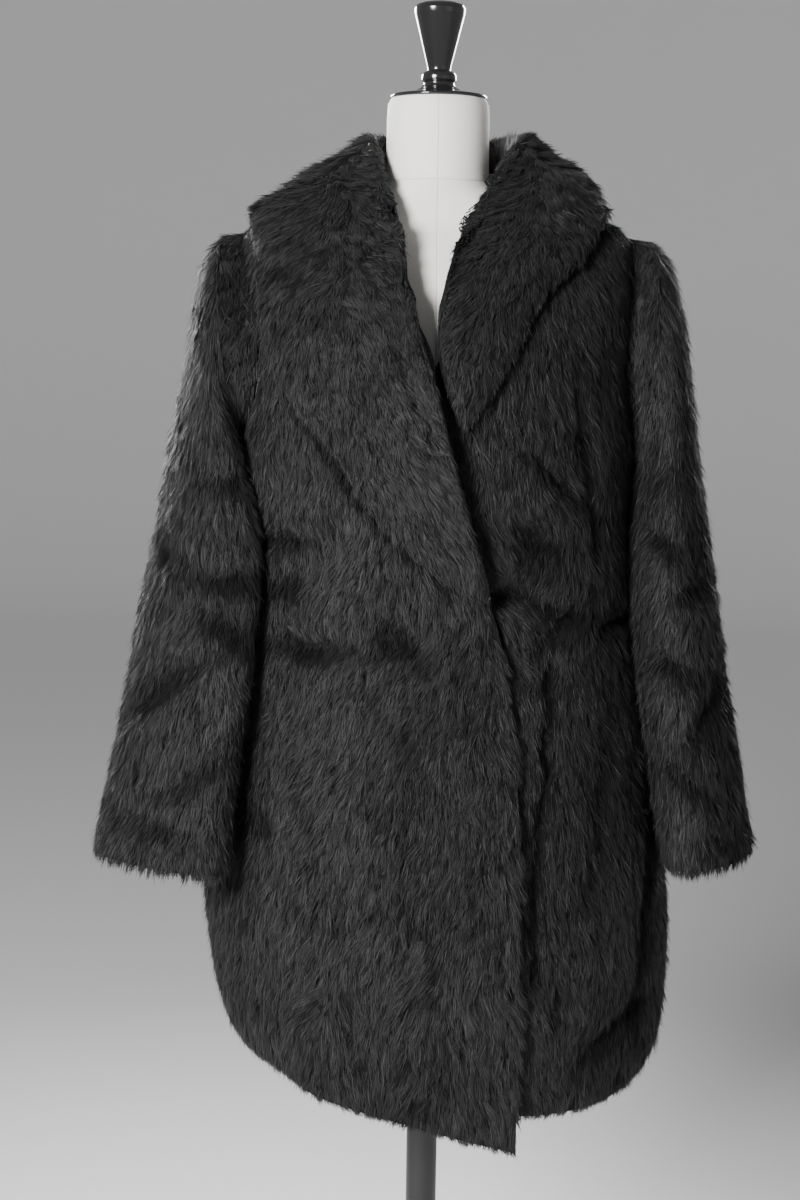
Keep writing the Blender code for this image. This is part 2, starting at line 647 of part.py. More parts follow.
def build_collar(name, side, neck, lapel, along, collection, material):
    """Half of the shawl collar: a stand that rolls over at the top and falls on the coat."""
    stations = collar_rows(side, neck, lapel)
    between = np.linspace(COLLAR_STAND_EDGE[-1], COLLAR_FALL_EDGE[0], COLLAR_ACROSS - 4)
    across = np.concatenate([COLLAR_STAND_EDGE, between[1:], COLLAR_FALL_EDGE[1:]])
    at = np.concatenate([np.linspace(0, COLLAR_END[0], along - 1), COLLAR_END[1:]])
    lines = np.stack([smooth_between(stations[:, k], at) for k in range(4)], axis=1)
    centre = np.stack([smooth_between(row, across) for row in lines])
    if side > 0:
        centre[..., 0] = np.maximum(centre[..., 0], SEAM_GAP / 2)
    lift = lift_under_collar(side, centre[..., 0], centre[..., 2])
    lift = lift + SHOULDER_EASE * ease((centre[..., 2] - CHEST) / (ARM_TOP - CHEST))
    lies_on_coat = (across > COLLAR_TURNED_OVER)[None, :] & (centre[..., 2] < SHOULDER_HEIGHTS[-2])
    clear = pushed_clear(centre, COLLAR_WALL / 2 + COLLAR_GAP + lift)
    centre = np.where(lies_on_coat[..., None], clear, centre)
    centre[0, :, 0] = side * SEAM_GAP / 2
    normal = unit(np.cross(np.gradient(centre, axis=0), np.gradient(centre, axis=1)))
    normal[0, :, 0] = 0
    normal = unit(normal)
    out = np.sign((normal[:, -3:] * (centre[:, -3:] * [1, 1, 0])).sum())
    shares = np.minimum(
        edge_shares(len(at), near=False, far=True)[:, None],
        edge_shares(len(across), near=True, far=True)[None, :],
    )
    half = (out * COLLAR_WALL / 2 * shares)[..., None] * normal
    return add_object(name, wall_bmesh(centre + half, centre - half, tube=False), material, collection)


def ring_loft(rings):
    """A closed solid through rings of as many points each, with flat ends."""
    mesh = bmesh.new()
    made = [[mesh.verts.new(point) for point in ring] for ring in rings]
    count = len(made[0])
    for low, high in zip(made, made[1:]):
        for j in range(count):
            k = (j + 1) % count
            mesh.faces.new((low[j], low[k], high[k], high[j]))
    mesh.faces.new(made[0][::-1])
    mesh.faces.new(made[-1])
    bmesh.ops.recalc_face_normals(mesh, faces=mesh.faces)
    return mesh


def build_form(collection, material):
    """The torso and its neck. Its shoulders follow the coat's from inside."""
    angles = np.linspace(-math.pi, math.pi, FORM_AROUND, endpoint=False)
    underside = oval(FORM, FORM.key[0], angles) * [UNDERSIDE_SHARE, UNDERSIDE_SHARE, 1]
    underside[:, 2] = FORM_BOTTOM
    rings = [underside] + [oval(FORM, height, angles) for height in FORM_HEIGHTS]
    for height, extra in SHOULDER_RINGS:
        rings.append(trunk_point(height, angles, -(BODY_WALL + REST_GAP + extra)))
    around = np.stack([np.cos(angles), np.sin(angles), 0 * angles], axis=-1)
    rings += [around * radius + [0, 0, height] for radius, height in NECK_RINGS]
    return add_object("form_body", ring_loft(rings), material, collection)


def turned(name, profile, steps, collection, material):
    """A profile of (radius, height) points from the top down, turned round the Z axis."""
    mesh = bmesh.new()
    line = [mesh.verts.new((radius, 0, height)) for radius, height in profile]
    for a, b in zip(line, line[1:]):
        mesh.edges.new((a, b))
    made = add_object(name, mesh, material, collection)
    screw = made.modifiers.new("Turned", "SCREW")
    screw.steps = screw.render_steps = steps
    screw.use_merge_vertices = True
    screw.merge_threshold = 0.0001
    screw.use_smooth_shade = True
    return made


def build_stand(collection, lacquer, steel):
    turned("neck_cap", CAP_PROFILE, 32, collection, lacquer)
    turned("base", BASE_PROFILE, 48, collection, steel)
    bpy.ops.mesh.primitive_cylinder_add(
        vertices=24,
        radius=POLE_RADIUS,
        depth=FORM_BOTTOM - HUB_TOP - 2 * SEAM_GAP,
        location=(0, 0, (FORM_BOTTOM + HUB_TOP) / 2),
    )
    pole = bpy.context.active_object
    pole.name = pole.data.name = "pole"
    pole.data.materials.append(steel)
    pole.data.shade_smooth()
    pole.data.set_sharp_from_angle(angle=math.radians(40))
    for owner in list(pole.users_collection):
        owner.objects.unlink(pole)
    collection.objects.link(pole)


def make_material(name):
    colour, roughness, metallic = MATERIALS[name]
    material = bpy.data.materials.new(name)
    material.use_nodes = True
    shader = material.node_tree.nodes["Principled BSDF"]
    shader.inputs["Base Color"].default_value = colour
    shader.inputs["Roughness"].default_value = roughness
    shader.inputs["Metallic"].default_value = metallic
    material.diffuse_color = colour
    return material


def main():
    for old in list(bpy.data.objects):
        bpy.data.objects.remove(old)
    collection = bpy.data.collections.new("faux_fur_coat")
    bpy.context.scene.collection.children.link(collection)
    fur, jersey, lacquer, steel = (make_material(name) for name in MATERIALS)
    build_body(collection, fur)
    build_sleeve("sleeve_right", -1, SLEEVE_RIGHT, collection, fur)
    build_sleeve("sleeve_left", 1, SLEEVE_LEFT, collection, fur)
    build_collar("collar_right", -1, COLLAR_NECK_RIGHT, LAPEL_RIGHT, 25, collection, fur)
    build_collar("collar_left", 1, COLLAR_NECK_LEFT, LAPEL_LEFT, 20, collection, fur)
    build_form(collection, jersey)
    build_stand(collection, lacquer, steel)


main()
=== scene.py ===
"""The looks of a faux fur coat on a limbless dress form.

Metres, +Z up, but for tables with named columns, which are in millimetres. The front looks along
-Y, and +X is the wearer's left. Each piece of the coat is a thin knitted backing with thousands of
blades of pile on it. The blades stand on the backing, and their tips lie on the surface that the
coat's solids have.
"""

import itertools
import json
import math

import bmesh
import bpy
import numpy as np
from mathutils import Matrix, Vector
from mathutils.kdtree import KDTree

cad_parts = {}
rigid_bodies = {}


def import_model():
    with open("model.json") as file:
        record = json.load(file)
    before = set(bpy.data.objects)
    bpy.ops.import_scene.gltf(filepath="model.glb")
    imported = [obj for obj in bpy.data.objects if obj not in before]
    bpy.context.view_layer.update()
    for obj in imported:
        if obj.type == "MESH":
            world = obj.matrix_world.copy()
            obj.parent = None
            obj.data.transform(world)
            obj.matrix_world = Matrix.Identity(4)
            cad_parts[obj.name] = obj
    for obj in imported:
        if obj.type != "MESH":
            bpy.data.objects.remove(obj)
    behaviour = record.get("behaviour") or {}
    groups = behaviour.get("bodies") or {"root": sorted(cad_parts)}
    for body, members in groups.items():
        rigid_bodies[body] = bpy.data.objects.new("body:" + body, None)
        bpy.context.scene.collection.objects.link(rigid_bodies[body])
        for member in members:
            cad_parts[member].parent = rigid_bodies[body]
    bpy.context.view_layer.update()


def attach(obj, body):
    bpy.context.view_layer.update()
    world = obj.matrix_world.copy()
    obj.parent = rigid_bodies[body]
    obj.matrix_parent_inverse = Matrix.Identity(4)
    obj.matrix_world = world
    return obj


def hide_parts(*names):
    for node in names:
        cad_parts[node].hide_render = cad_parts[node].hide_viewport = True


for old in list(bpy.data.objects):
    bpy.data.objects.remove(old)
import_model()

bl_info = {
    "name": "Faux Fur Coat",
    "version": (1, 0, 0),
    "blender": (4, 5, 0),
    "location": "View3D > Sidebar > Fur Coat",
    "description": "Makes the pile, the backing, the dress form and the studio of a faux fur coat",
    "category": "Object",
}

# Cloth, as the solids have it
BODY_WALL = 0.009
COLLAR_WALL = 0.014
SEAM_GAP = 0.0003
LYING_GAP = 0.0021
COLLAR_GAP = 0.0027
SLEEVE_CLEAR = 0.003

# Heights
HEM = 0.440
HEM_FADE = 0.30
NECKLINE = 1.347
ARM_TOP = 1.296
ARM_BOTTOM = 1.075
ARM_HALF_ANGLES = {
    ("right", "front"): 29,
    ("right", "back"): 25,
    ("left", "front"): 17,
    ("left", "back"): 32,
}
LAP_RAMP = 0.065
LAP_MARGIN = 0.012
LAP_TOP = 1.245
LAP_FULL = 1.165

NECK_RADIUS = 0.0505
NECK_TOP = 1.4240
FORM_BOTTOM = 0.640
FORM_CLEAR = BODY_WALL + 0.0015  # how far the form's shoulders lie under the coat's surface
POLE_RADIUS = 0.0158
BASE_RADIUS = 0.190
BASE_THICK = 0.018
HUB_RADIUS = 0.030
HUB_TOP = 0.050
SQUARENESS = 2.12
OVAL_POWER = 2 / SQUARENESS
CHEST = 1.200
SIDE_REACH = 0.19
STEP = 1e-4
ARM_STEP_OUT = 0.0050
ARM_STEP_DOWN = 0.0015
STAND_SHARE = 0.965
STAND_GAP = 0.0026
SHOULDER_EASE = 0.0015
LAPEL_TURN = 0.003
FALL_BULGE = {-1: 0.000, 1: 0.006}
COLLAR_TURNED_OVER = 0.3
COLLAR_THINS = 0.0080
COLLAR_THINS_FROM = 0.034
SHELL_INSET = 0.0015  # how far a collar's backing stays inside its solid

# Where the body, the sleeves, the collar and the form change from one shape to the next
SIDE_FROM = 0.135  # the body's sides fill out from here
SIDE_BLEND = 0.03
PARTING_END = 0.15  # the share of its length over which a parting runs out
FOLD_SLOPE = 0.06
FOLDS_START = 12  # rows down a sleeve
SLEEVE_INNER = 55  # degrees round a sleeve's innermost line
COLLAR_LIES_BELOW = 1.334
ROLL_SINKS = 0.0030
ROLL_SINKS_FROM = 0.010
LAPEL_FROM, LAPEL_TO = 1.292, 1.350  # here the stand runs out into the lapel
FORM_CHEST_TOP = 1.222
FORM_SHOULDER = 1.298
FORM_NECK_RISE = 0.046
FORM_NECK_FOOT = 0.0515

# The pile. Locks differ from each other, and so do the blades of one lock. Shades and shares have
# no unit, and all the rest is in metres but for the turns
TURN_OF_LOCK, TURN_OF_BLADE = 11, 7  # degrees
LENGTH_OF_LOCK, LENGTH_OF_BLADE = 0.12, 0.14
SHORTEST, LONGEST, STRETCH = 0.4, 1.5, 1.15
END_OF_LOCK, END_OF_BLADE, END_OF_STRAY = 0.0018, 0.0014, 0.002
END_GROWS = 0.008
LIFT_OF_LOCK, LIFT_OF_BLADE = 0.0006, 0.0004
LOWEST, HIGHEST, UNDER_SURFACE = -0.0025, 0.0060, 0.0004
TUFT_FROM, TUFT_MOST = 0.9, 1.2
STRAY_GATHERING = 0.05
FOLD_REACH, FOLD_LENGTH, FOLD_DROOP = 0.007, 0.5, 0.4  # of blades over a piece's top edge
BRIDGE_FROM, BRIDGE_RANGE, BRIDGE_CUT = 0.0008, 0.0012, 0.9
PARTING_SIZE, PARTING_STRETCH, PARTING_WIDTH = 0.010, 4.5, 0.095
PARTING_SINKS, RIM_SINKS = 0.0012, 0.0008
SHADE, SHADE_OF_LOCK = 0.59, 0.10
# Painted shade: how much the pile's colour is darkened in partings, at the rims of locks and in
# creases, and how deep a crease is when that darkening is full
PARTING_PAINTED_SHADE, RIM_PAINTED_SHADE, CREASE_PAINTED_SHADE, CREASE_DEEP = 0.44, 0.30, 0.80, 0.010
EDGE_FILL = 0.7  # how many more blades stand near a free edge
EDGE_FILL_REACH = 0.016
EDGE_ROUND = 0.008  # the pile bends in within this distance of a free edge
EDGE_DROOP = 0.0060
UNDERPILE = 0.0034  # how deep under the tips the pile is too dense to see between
ROOTS = 0.0042  # how deep the blades start
OVERHANG = 0.0014  # how far blades reach past a free edge, where a piece doesn't say
LOCK_LENGTH = 2.4  # for each width of a lock
FACE_BLEND = 0.04  # over this depth a crease runs out from one face to the other
DOWN = np.array([0, 0, -1.0])

BODY_SIDES = (UNDERPILE, BODY_WALL)  # how deep the two sides of a panel's backing lie
COLLARS = ("collar_right", "collar_left")
LIGHTS_AIM = Vector((0, 0, 0.95))

# Columns that hold no length. All the others are in millimetres
PLAIN = {"row", "face", "slope", "degrees", "reach_round"}


def metres(columns, rows):
    return np.array(rows, float) / [1 if name in PLAIN else 1000 for name in columns.split()]


def both_sides(columns, *rows):
    """Rows for the right side or the front, by -1, and for the left side or the back, by 1."""
    return dict(zip((-1, 1), [metres(columns, group) for group in rows]))


class Table:
    """Rows of sizes with named columns, read smoothly at any value of the first column."""

    def __init__(self, columns, rows):
        self.columns = dict(zip(columns.split(), np.array(rows, float).T))
        self.key = next(iter(self.columns.values()))

    def read(self, column, at):
        at = np.clip(at, self.key[0], self.key[-1])
        values = self.columns[column]
        span = np.diff(self.key)
        rise = np.diff(values) / span
        slope = np.concatenate([rise[:1], np.zeros(len(rise) - 1), rise[-1:]])
        same_way = rise[:-1] * rise[1:] > 0
        total = np.where(same_way, rise[:-1] + rise[1:], 1)
        slope[1:-1] = np.where(same_way, 2 * rise[:-1] * rise[1:] / total, 0)
        i = np.clip(np.searchsorted(self.key, at, side="right") - 1, 0, len(rise) - 1)
        t = (at - self.key[i]) / span[i]
        keep = (1 + 2 * t) * (1 - t) ** 2 * values[i] + t * t * (3 - 2 * t) * values[i + 1]
        lean = t * (1 - t) ** 2 * slope[i] - t * t * (1 - t) * slope[i + 1]
        return keep + span[i] * lean


def size_table(columns, rows):
    return Table(columns, metres(columns, rows))


TRUNK = size_table(
    "height half_width front back centre_x",
    [
        (440, 213, 159, 165, 18), (456, 222, 163, 172, 19), (500, 232, 166, 177, 16),
        (600, 238, 166, 177, 11), (700, 232, 162, 171, 7), (820, 218, 154, 158, 4),
        (950, 203, 146, 142, 1), (1060, 195, 147, 133, 0), (1140, 194, 148, 131, 0),
        (1200, 196, 134, 125, 0), (1250, 197, 106, 110, 0), (1285, 195, 78, 89, 0),
        (1303, 185, 64, 75, 0), (1312, 160, 60, 71, 0), (1322, 130, 57, 68, 0),
        (1334, 98, 54, 65, 0), (1347, 66, 52, 62, 0),
    ],
)
FORM = size_table(
    "height half_width front back",
    [
        (646, 132, 84, 92), (660, 152, 96, 106), (720, 170, 104, 122), (800, 176, 106, 127),
        (900, 148, 98, 104), (985, 121, 88, 77), (1070, 139, 108, 89), (1140, 158, 124, 101),
        (1200, 166, 112, 103), (1250, 170, 85, 91), (1278, 168, 62, 73),
    ],
)
RIGHT_EDGE = size_table(
    "height x",
    [
        (400, 91), (560, 93), (760, 87), (880, 74), (940, 59), (980, 38), (1080, 12), (1130, -2),
        (1190, -15), (1250, -32), (1294, -42), (1325, -54), (1347, -63),
    ],
)
LEFT_EDGE = size_table(
    "height x",
    [
        (400, -88), (800, -88), (950, -66), (1060, -45), (1130, -22), (1190, 2), (1220, 10),
        (1253, 18), (1293, 34), (1325, 52), (1347, 63),
    ],
)
HEM_RISE = {
    "back": (0.036, 0.040, 0.044),
    "front_left": (0.036, -0.004, 0.030),
    "front_right": (0.044, 0.018, -0.034),
}
SLEEVE_RIGHT = size_table(
    "row outer_x outer_y outer_z inner_x inner_y inner_z half_depth fullness",
    [
        (1, 214, 0, 1290, 200, -4, 1051, 78, 4), (2, 231, 2, 1262, 197, -14, 1026, 80, 18),
        (3, 243, 8, 1212, 190, -36, 992, 77, 28), (4, 255, 10, 1135, 180, -64, 953, 71, 26),
        (5, 269, 6, 1055, 173, -86, 918, 64, 16), (6, 285, -4, 975, 172, -97, 883, 58, 7),
        (7, 298, -16, 895, 176, -103, 836, 53, 2), (8, 311, -30, 815, 183, -107, 780, 48, 0),
        (9, 326, -48, 732, 189, -113, 712, 43, 0), (10, 337, -64, 680, 193, -116, 668, 41, 0),
    ],
)
SLEEVE_LEFT = size_table(
    "row outer_x outer_y outer_z inner_x inner_y inner_z half_depth fullness",
    [
        (1, 217, 4, 1290, 200, 0, 1052, 76, 0), (2, 235, 3, 1264, 203, -2, 1030, 82, 0),
        (3, 247, 0, 1215, 203, -5, 1003, 87, 0), (4, 258, -3, 1140, 202, -12, 968, 90, 0),
        (5, 269, -6, 1060, 202, -22, 930, 88, 0), (6, 282, -10, 982, 203, -34, 888, 82, 0),
        (7, 295, -16, 900, 207, -48, 838, 76, 0), (8, 306, -24, 820, 214, -60, 780, 70, 0),
        (9, 319, -34, 740, 226, -68, 716, 65, 0), (10, 329, -40, 686, 233, -71, 671, 61, 0),
    ],
)

# The collar, on the wearer's right (-1) and left (1): along the neck where its roll and its outer
# edge lie, and down the lapel the same
COLLAR_NECK = both_sides(
    "x y height edge_x edge_height face",
    [
        (0, 84, 1386, 0, 1262, 1), (-38, 77, 1387, -80, 1268, 1), (-60, 47, 1387, -146, 1280, 1),
        (-68, 8, 1387, -178, 1305.5, 1), (-65, -30, 1367, -174, 1276, -1),
    ],
    [
        (0, 84, 1386, 0, 1262, 1), (46, 76, 1388, 80, 1268, 1), (76, 47, 1389, 146, 1280, 1),
        (88, 8, 1388, 170, 1308.5, 1), (78, -30, 1368, 154, 1290, -1),
    ],
)
LAPEL = both_sides(
    "height x edge_x edge_height",
    [
        (1318, -49, -169, 1238), (1270, -37, -164, 1196), (1216, -24, -152, 1158),
        (1158, -6, -128, 1122), (1109, 7, -100, 1090), (1051, 22, -62, 1034), (1000, 36, -18, 988),
        (966, 46, 20, 960), (948, 52, 41, 946),
    ],
    [
        (1330, 53, 136, 1262), (1300, 38, 116, 1246), (1268, 21, 96, 1220), (1238, 10, 81, 1190),
        (1208, 4, 67, 1164), (1176, 3, 51, 1138), (1140, 11, 37, 1118), (1114, 20, 30, 1106),
    ],
)

# The turned cap on the neck, from the top down: radius and height over its foot, in tenths of a
# millimetre
CAP_FOOT = NECK_TOP + SEAM_GAP
CAP_PROFILE = [0, CAP_FOOT] + np.array(
    [
        (0, 930), (160, 922), (230, 898), (252, 858), (246, 810), (118, 310), (114, 270),
        (150, 254), (172, 224), (172, 180), (150, 150), (158, 130), (180, 106), (250, 70),
        (400, 44), (462, 34), (477, 18), (470, 0), (0, 0),
    ]
) / 10000
BASE_BEVEL = 0.003
BASE_RIM = BASE_THICK - 0.002
BASE_PROFILE = [
    (0.0, HUB_TOP),
    (HUB_RADIUS - BASE_BEVEL, HUB_TOP),
    (HUB_RADIUS, HUB_TOP - BASE_BEVEL),
    (HUB_RADIUS + 0.001, BASE_THICK + 0.010),
    (HUB_RADIUS + 0.008, BASE_THICK + 0.003),
    (BASE_RADIUS * 0.90, BASE_THICK),
    (BASE_RADIUS - BASE_BEVEL, BASE_RIM),
    (BASE_RADIUS, BASE_RIM - BASE_BEVEL),
    (BASE_RADIUS, BASE_BEVEL),
    (BASE_RADIUS - BASE_BEVEL, 0.0),
    (0.0, 0.0),
]

# Creases and swells of the body's front (-1) and back (1): where the middle is, and how far they
# go in (out where it is negative)
BODY_CREASES = both_sides(
    "x height half_length half_width slope depth",
    [
        (-116, 901, 42, 10.5, 0.06, 12.5), (-118, 921, 40, 14, 0.06, -2),
        (-34, 915, 22, 13, -0.45, 12), (-145, 1000, 30, 8.5, 0.1, 10.5),
        (-142, 957, 22, 8.5, 0.05, 9.5), (-110, 1012, 22, 16, 0, -2.5),
        (92, 1006, 26, 15, -0.3, 12), (122, 1058, 36, 9, -0.8, 9.5), (62, 1048, 24, 26, 0, -5),
        (150, 1020, 12, 30, 0, -3), (90, 948, 42, 10, -0.3, 12), (80, 975, 30, 12, -0.3, -3),
        (130, 925, 30, 9, 0.45, 9), (184, 920, 20, 9, 0.3, 10), (-167, 724, 20, 14, 0.2, 4.5),
        (-108, 552, 16, 10, 0.6, 7), (-6, 566, 16, 11, 0.9, 6), (-59, 495, 10, 10, 0.3, 7),
        (0, 467, 12, 10, 0.2, 7), (190, 523, 42, 12, 0.65, 9), (129, 552, 9, 20, 0, 8),
        (198, 470, 12, 10, 0, 5),
    ],
    [
        (-150, 1000, 50, 13, -0.25, 8), (-60, 955, 60, 13, 0.1, 7), (-60, 980, 60, 16, 0.1, -3),
        (90, 985, 50, 13, 0.2, 8), (140, 920, 40, 12, -0.15, 6.5), (-130, 900, 35, 12, 0.3, 6.5),
        (20, 1130, 90, 22, 0.05, 4), (-100, 1180, 30, 16, 0.8, 4), (110, 1190, 30, 16, -0.8, 4),
        (60, 640, 20, 12, 0.4, 5), (-130, 560, 18, 12, -0.6, 5), (150, 520, 20, 11, 0.5, 6),
    ],
)
# Partings down the body's front and back, each from its top to its foot
BODY_PARTINGS = both_sides(
    "top_x foot_x top foot half_width depth",
    [
        (-128, -70, 1122, 1040, 7, 7), (-70, 20, 1042, 958, 7, 8), (115, 116, 885, 780, 6.5, 9.5),
        (112, 101, 775, 580, 6, 10), (225, 213, 760, 515, 7, 8), (150, 158, 1110, 985, 6, 9),
        (138, 142, 1150, 1070, 6, 5), (178, 160, 860, 640, 11, 4.5), (-76, -72, 565, 520, 6, 7),
        (-20, -12, 830, 640, 16, 3), (-165, -180, 850, 640, 18, 3),
    ],
    [
        (0, 6, 900, 540, 15, 8), (-110, -130, 860, 520, 14, 7.5), (120, 140, 880, 500, 15, 8),
        (-60, -62, 700, 500, 8, 6), (70, 75, 720, 520, 8, 6),
    ],
)
# Soft folds across the right sleeve and the left one. The way round at which they are deepest is
# given in degrees from the innermost point by the front, and so is how far they reach round
SLEEVE_FOLDS = both_sides(
    "height half_width depth degrees reach_round slope",
    [
        (1060, 14, 6, 70, 40, 0), (985, 14, 8.5, 128, 26, 0.1), (962, 12, 10, 66, 26, 0.25),
        (990, 16, -2, 75, 34, 0.2), (915, 13, 13, 62, 26, 0.35), (893, 22, -4.5, 95, 34, 0),
        (855, 12, 13, 108, 40, -1.1), (815, 16, -3, 80, 30, 0), (775, 12, 8, 60, 36, -0.6),
        (720, 10, 5, 100, 40, 0.2), (1024, 12, 7.5, 236, 32, 0.4), (952, 15, 10, 292, 34, -0.5),
        (906, 11, 5.5, 236, 30, 0.5), (786, 16, 4.5, 262, 32, -0.5),
    ],
    [
        (1070, 14, 6, 75, 40, 0.1), (1000, 13, 12, 70, 32, -0.3), (955, 13, 9.5, 112, 30, 0.2),
        (925, 18, -4, 85, 36, 0), (885, 12, 11, 66, 32, -0.25), (835, 14, 9, 110, 40, 0.8),
        (770, 14, 7, 75, 36, -0.4), (715, 12, 5, 100, 40, 0), (1032, 13, 7.5, 262, 32, -0.4),
        (960, 12, 9.5, 300, 32, 0.35), (884, 16, 6, 232, 34, 0.55), (770, 14, 4.5, 275, 32, -0.4),
    ],
)
# Where the body's sides and the sleeves' inner sides fill out beside each other: height, half
# length, how far
SIDE_FILL = (1.080, 0.045, 0.0060)
SLEEVE_FILL = {-1: (1.090, 0.060, 0.0135), 1: (1.000, 0.120, 0.0100)}

# Which way the pile is combed: degrees from straight down (down and to the viewer's right is more
# than 0), and how far round the place they count. First on the body's front (-1) and back (1),
# then on the collar's right (-1) and left (1) halves
BODY_FLOW = both_sides(
    "x height degrees reach",
    [
        (-150, 1060, 4, 40), (-110, 1020, 38, 22), (-90, 985, -20, 24), (-140, 930, 16, 26),
        (-160, 870, -3, 40), (-60, 870, -34, 40), (-10, 860, -30, 40), (-90, 800, -26, 45),
        (-190, 740, -4, 45), (-165, 724, 40, 14), (-180, 712, -44, 14), (-50, 740, -22, 45),
        (10, 700, -14, 40), (75, 900, 24, 20), (82, 800, 22, 18), (86, 680, 20, 18),
        (88, 560, 24, 18), (30, 980, 34, 22), (-110, 640, -12, 45), (-200, 600, 0, 45),
        (-20, 620, -20, 40), (-108, 560, -48, 16), (-92, 545, 30, 14), (-10, 578, -50, 18),
        (12, 556, -8, 16), (-55, 500, 20, 20), (0, 480, -18, 22), (60, 480, 8, 25),
        (60, 1060, -10, 20), (72, 1030, 30, 18), (110, 1090, -24, 20), (130, 1060, 32, 18),
        (152, 1040, -18, 16), (100, 980, -38, 20), (70, 940, 34, 18), (150, 940, -26, 20),
        (190, 930, 18, 20), (130, 830, -12, 30), (105, 820, 16, 16), (180, 800, 6, 35),
        (125, 700, -14, 18), (95, 690, 12, 14), (170, 680, 6, 35), (215, 640, -8, 30),
        (130, 560, 14, 16), (175, 540, -32, 26), (225, 560, 10, 24), (195, 470, 10, 20),
    ],
    [
        (-110, 1020, -22, 35), (100, 1010, 20, 35), (0, 960, 6, 40), (-60, 880, 16, 35),
        (70, 900, -16, 35), (0, 800, -5, 40), (-130, 760, 14, 40), (130, 750, -12, 40),
        (-60, 660, -12, 30), (50, 640, 14, 30), (-160, 560, -10, 35), (160, 560, 8, 35),
        (0, 540, 10, 30), (90, 540, -22, 20), (-90, 590, 26, 18),
    ],
)
COLLAR_FLOW = both_sides(
    "x height degrees reach",
    [
        (-60, 1350, 80, 20), (-50, 1320, 68, 20), (-52, 1285, 50, 22), (-45, 1240, 34, 24),
        (-30, 1180, 30, 30), (-10, 1110, 36, 30), (15, 1040, 34, 25), (-85, 1300, 14, 20),
        (-92, 1262, 24, 14), (-100, 1252, -42, 12), (-80, 1236, 44, 12), (-130, 1300, -40, 25),
        (-150, 1260, -22, 22), (-155, 1210, -6, 22), (-120, 1190, 4, 25), (-100, 1140, 12, 25),
        (-60, 1090, 20, 25),
    ],
    [
        (55, 1340, -70, 20), (40, 1300, -52, 20), (22, 1255, -40, 20), (10, 1210, -30, 20),
        (80, 1290, -30, 22), (60, 1240, -26, 20), (50, 1190, -16, 20), (120, 1300, 24, 22),
        (110, 1265, 10, 18), (30, 1140, -8, 20),
    ],
)
# Smooth unevenness, in layers: how far it goes, the size of its patches, and its seed
UNEVEN = {
    "crease_x": ((0.005, 0.035, 3), (0.0025, 0.013, 5)),
    "crease_height": ((0.005, 0.035, 4), (0.0025, 0.013, 6)),
    "body": ((0.0016, 0.075, 1), (0.0008, 0.032, 2)),
    "fold_height": ((0.010, 0.05, 11),),
    "sleeve": ((0.0014, 0.07, 12), (0.0008, 0.03, 13)),
    "collar": ((0.0012, 0.05, 21), (0.0006, 0.022, 22)),
    "body_comb": ((13, 0.045, 31), (7, 0.02, 32)),
    "sleeve_comb": ((15, 0.05, 41), (9, 0.02, 42)),
    "collar_comb": ((14, 0.03, 51), (9, 0.014, 52)),
    "shade": ((0.08, 0.06, 61), (0.07, 0.02, 62)),
}


# ---------------------------------------------------------------- shapes


def ease(t):
    t = np.clip(t, 0, 1)
    return t * t * (3 - 2 * t)


def bell(t):
    return np.exp(-(t**2))


def norm(vectors):
    return np.linalg.norm(vectors, axis=-1)


def dot(a, b):
    return (a * b).sum(-1)


def unit(vectors):
    return vectors / np.maximum(np.linalg.norm(vectors, axis=-1, keepdims=True), 1e-12)


def oval(sizes, height, angle):
    height, angle = np.broadcast_arrays(np.asarray(height, float), angle)
    across, along = np.cos(angle), np.sin(angle)
    depth = np.where(along < 0, sizes.read("front", height), sizes.read("back", height))
    x = sizes.read("half_width", height) * np.sign(across) * np.abs(across) ** OVAL_POWER
    if "centre_x" in sizes.columns:
        x = x + sizes.read("centre_x", height)
    y = depth * np.sign(along) * np.abs(along) ** OVAL_POWER
    return np.stack([x, y, height], axis=-1)


def trunk_normal(height, angle):
    height = np.clip(height, HEM + 2 * STEP, NECKLINE - 2 * STEP)
    turn = oval(TRUNK, height, angle + STEP) - oval(TRUNK, height, angle - STEP)
    climb = oval(TRUNK, height + STEP, angle) - oval(TRUNK, height - STEP, angle)
    return unit(np.cross(turn, climb))


def trunk_point(height, angle, lift=0.0, rise=0.0):
    height, angle, lift, rise = np.broadcast_arrays(height, angle, lift, rise)
    point = oval(TRUNK, height, angle) + lift[..., None] * trunk_normal(height, angle)
    point[..., 2] += rise * ease(1 - (height - HEM) / HEM_FADE)
    return point


def angle_at(x, height, face=-1):
    share = (x - TRUNK.read("centre_x", height)) / TRUNK.read("half_width", height)
    share = np.clip(share, -1, 1)
    return face * np.arccos(np.sign(share) * np.abs(share) ** (SQUARENESS / 2))


def depth_ratio(points):
    x, y, z = np.moveaxis(points, -1, 0)
    height = np.clip(z, HEM, NECKLINE)
    depth = np.where(y < 0, TRUNK.read("front", height), TRUNK.read("back", height))
    across = np.abs(x - TRUNK.read("centre_x", height)) / TRUNK.read("half_width", height)
    return (across**SQUARENESS + np.abs(y / depth) ** SQUARENESS) ** (1 / SQUARENESS) - 1


def pushed_clear(points, clearance):
    """The points, moved out where they are nearer the body than this."""
    points = points.copy()
    steps = STEP * np.eye(3)
    for _ in range(6):
        slope = [(depth_ratio(points + s) - depth_ratio(points - s)) / (2 * STEP) for s in steps]
        slope = np.stack(slope, -1)
        steepness = norm(slope)
        distance = depth_ratio(points) / steepness
        short = np.where(points[..., 2] < NECKLINE, np.clip(clearance - distance, 0, None), 0)
        points += short[..., None] * (slope / steepness[..., None])
    return points


def lap(x, height):
    """How far the right front is lifted by the left one under it."""
    start = LEFT_EDGE.read("x", height) - LAP_RAMP
    across = ease((x - start) / (LAP_RAMP - LAP_MARGIN))
    return (BODY_WALL + LYING_GAP) * across * ease((LAP_TOP - height) / (LAP_TOP - LAP_FULL))


def no_lift(x, height):
    return 0 * x


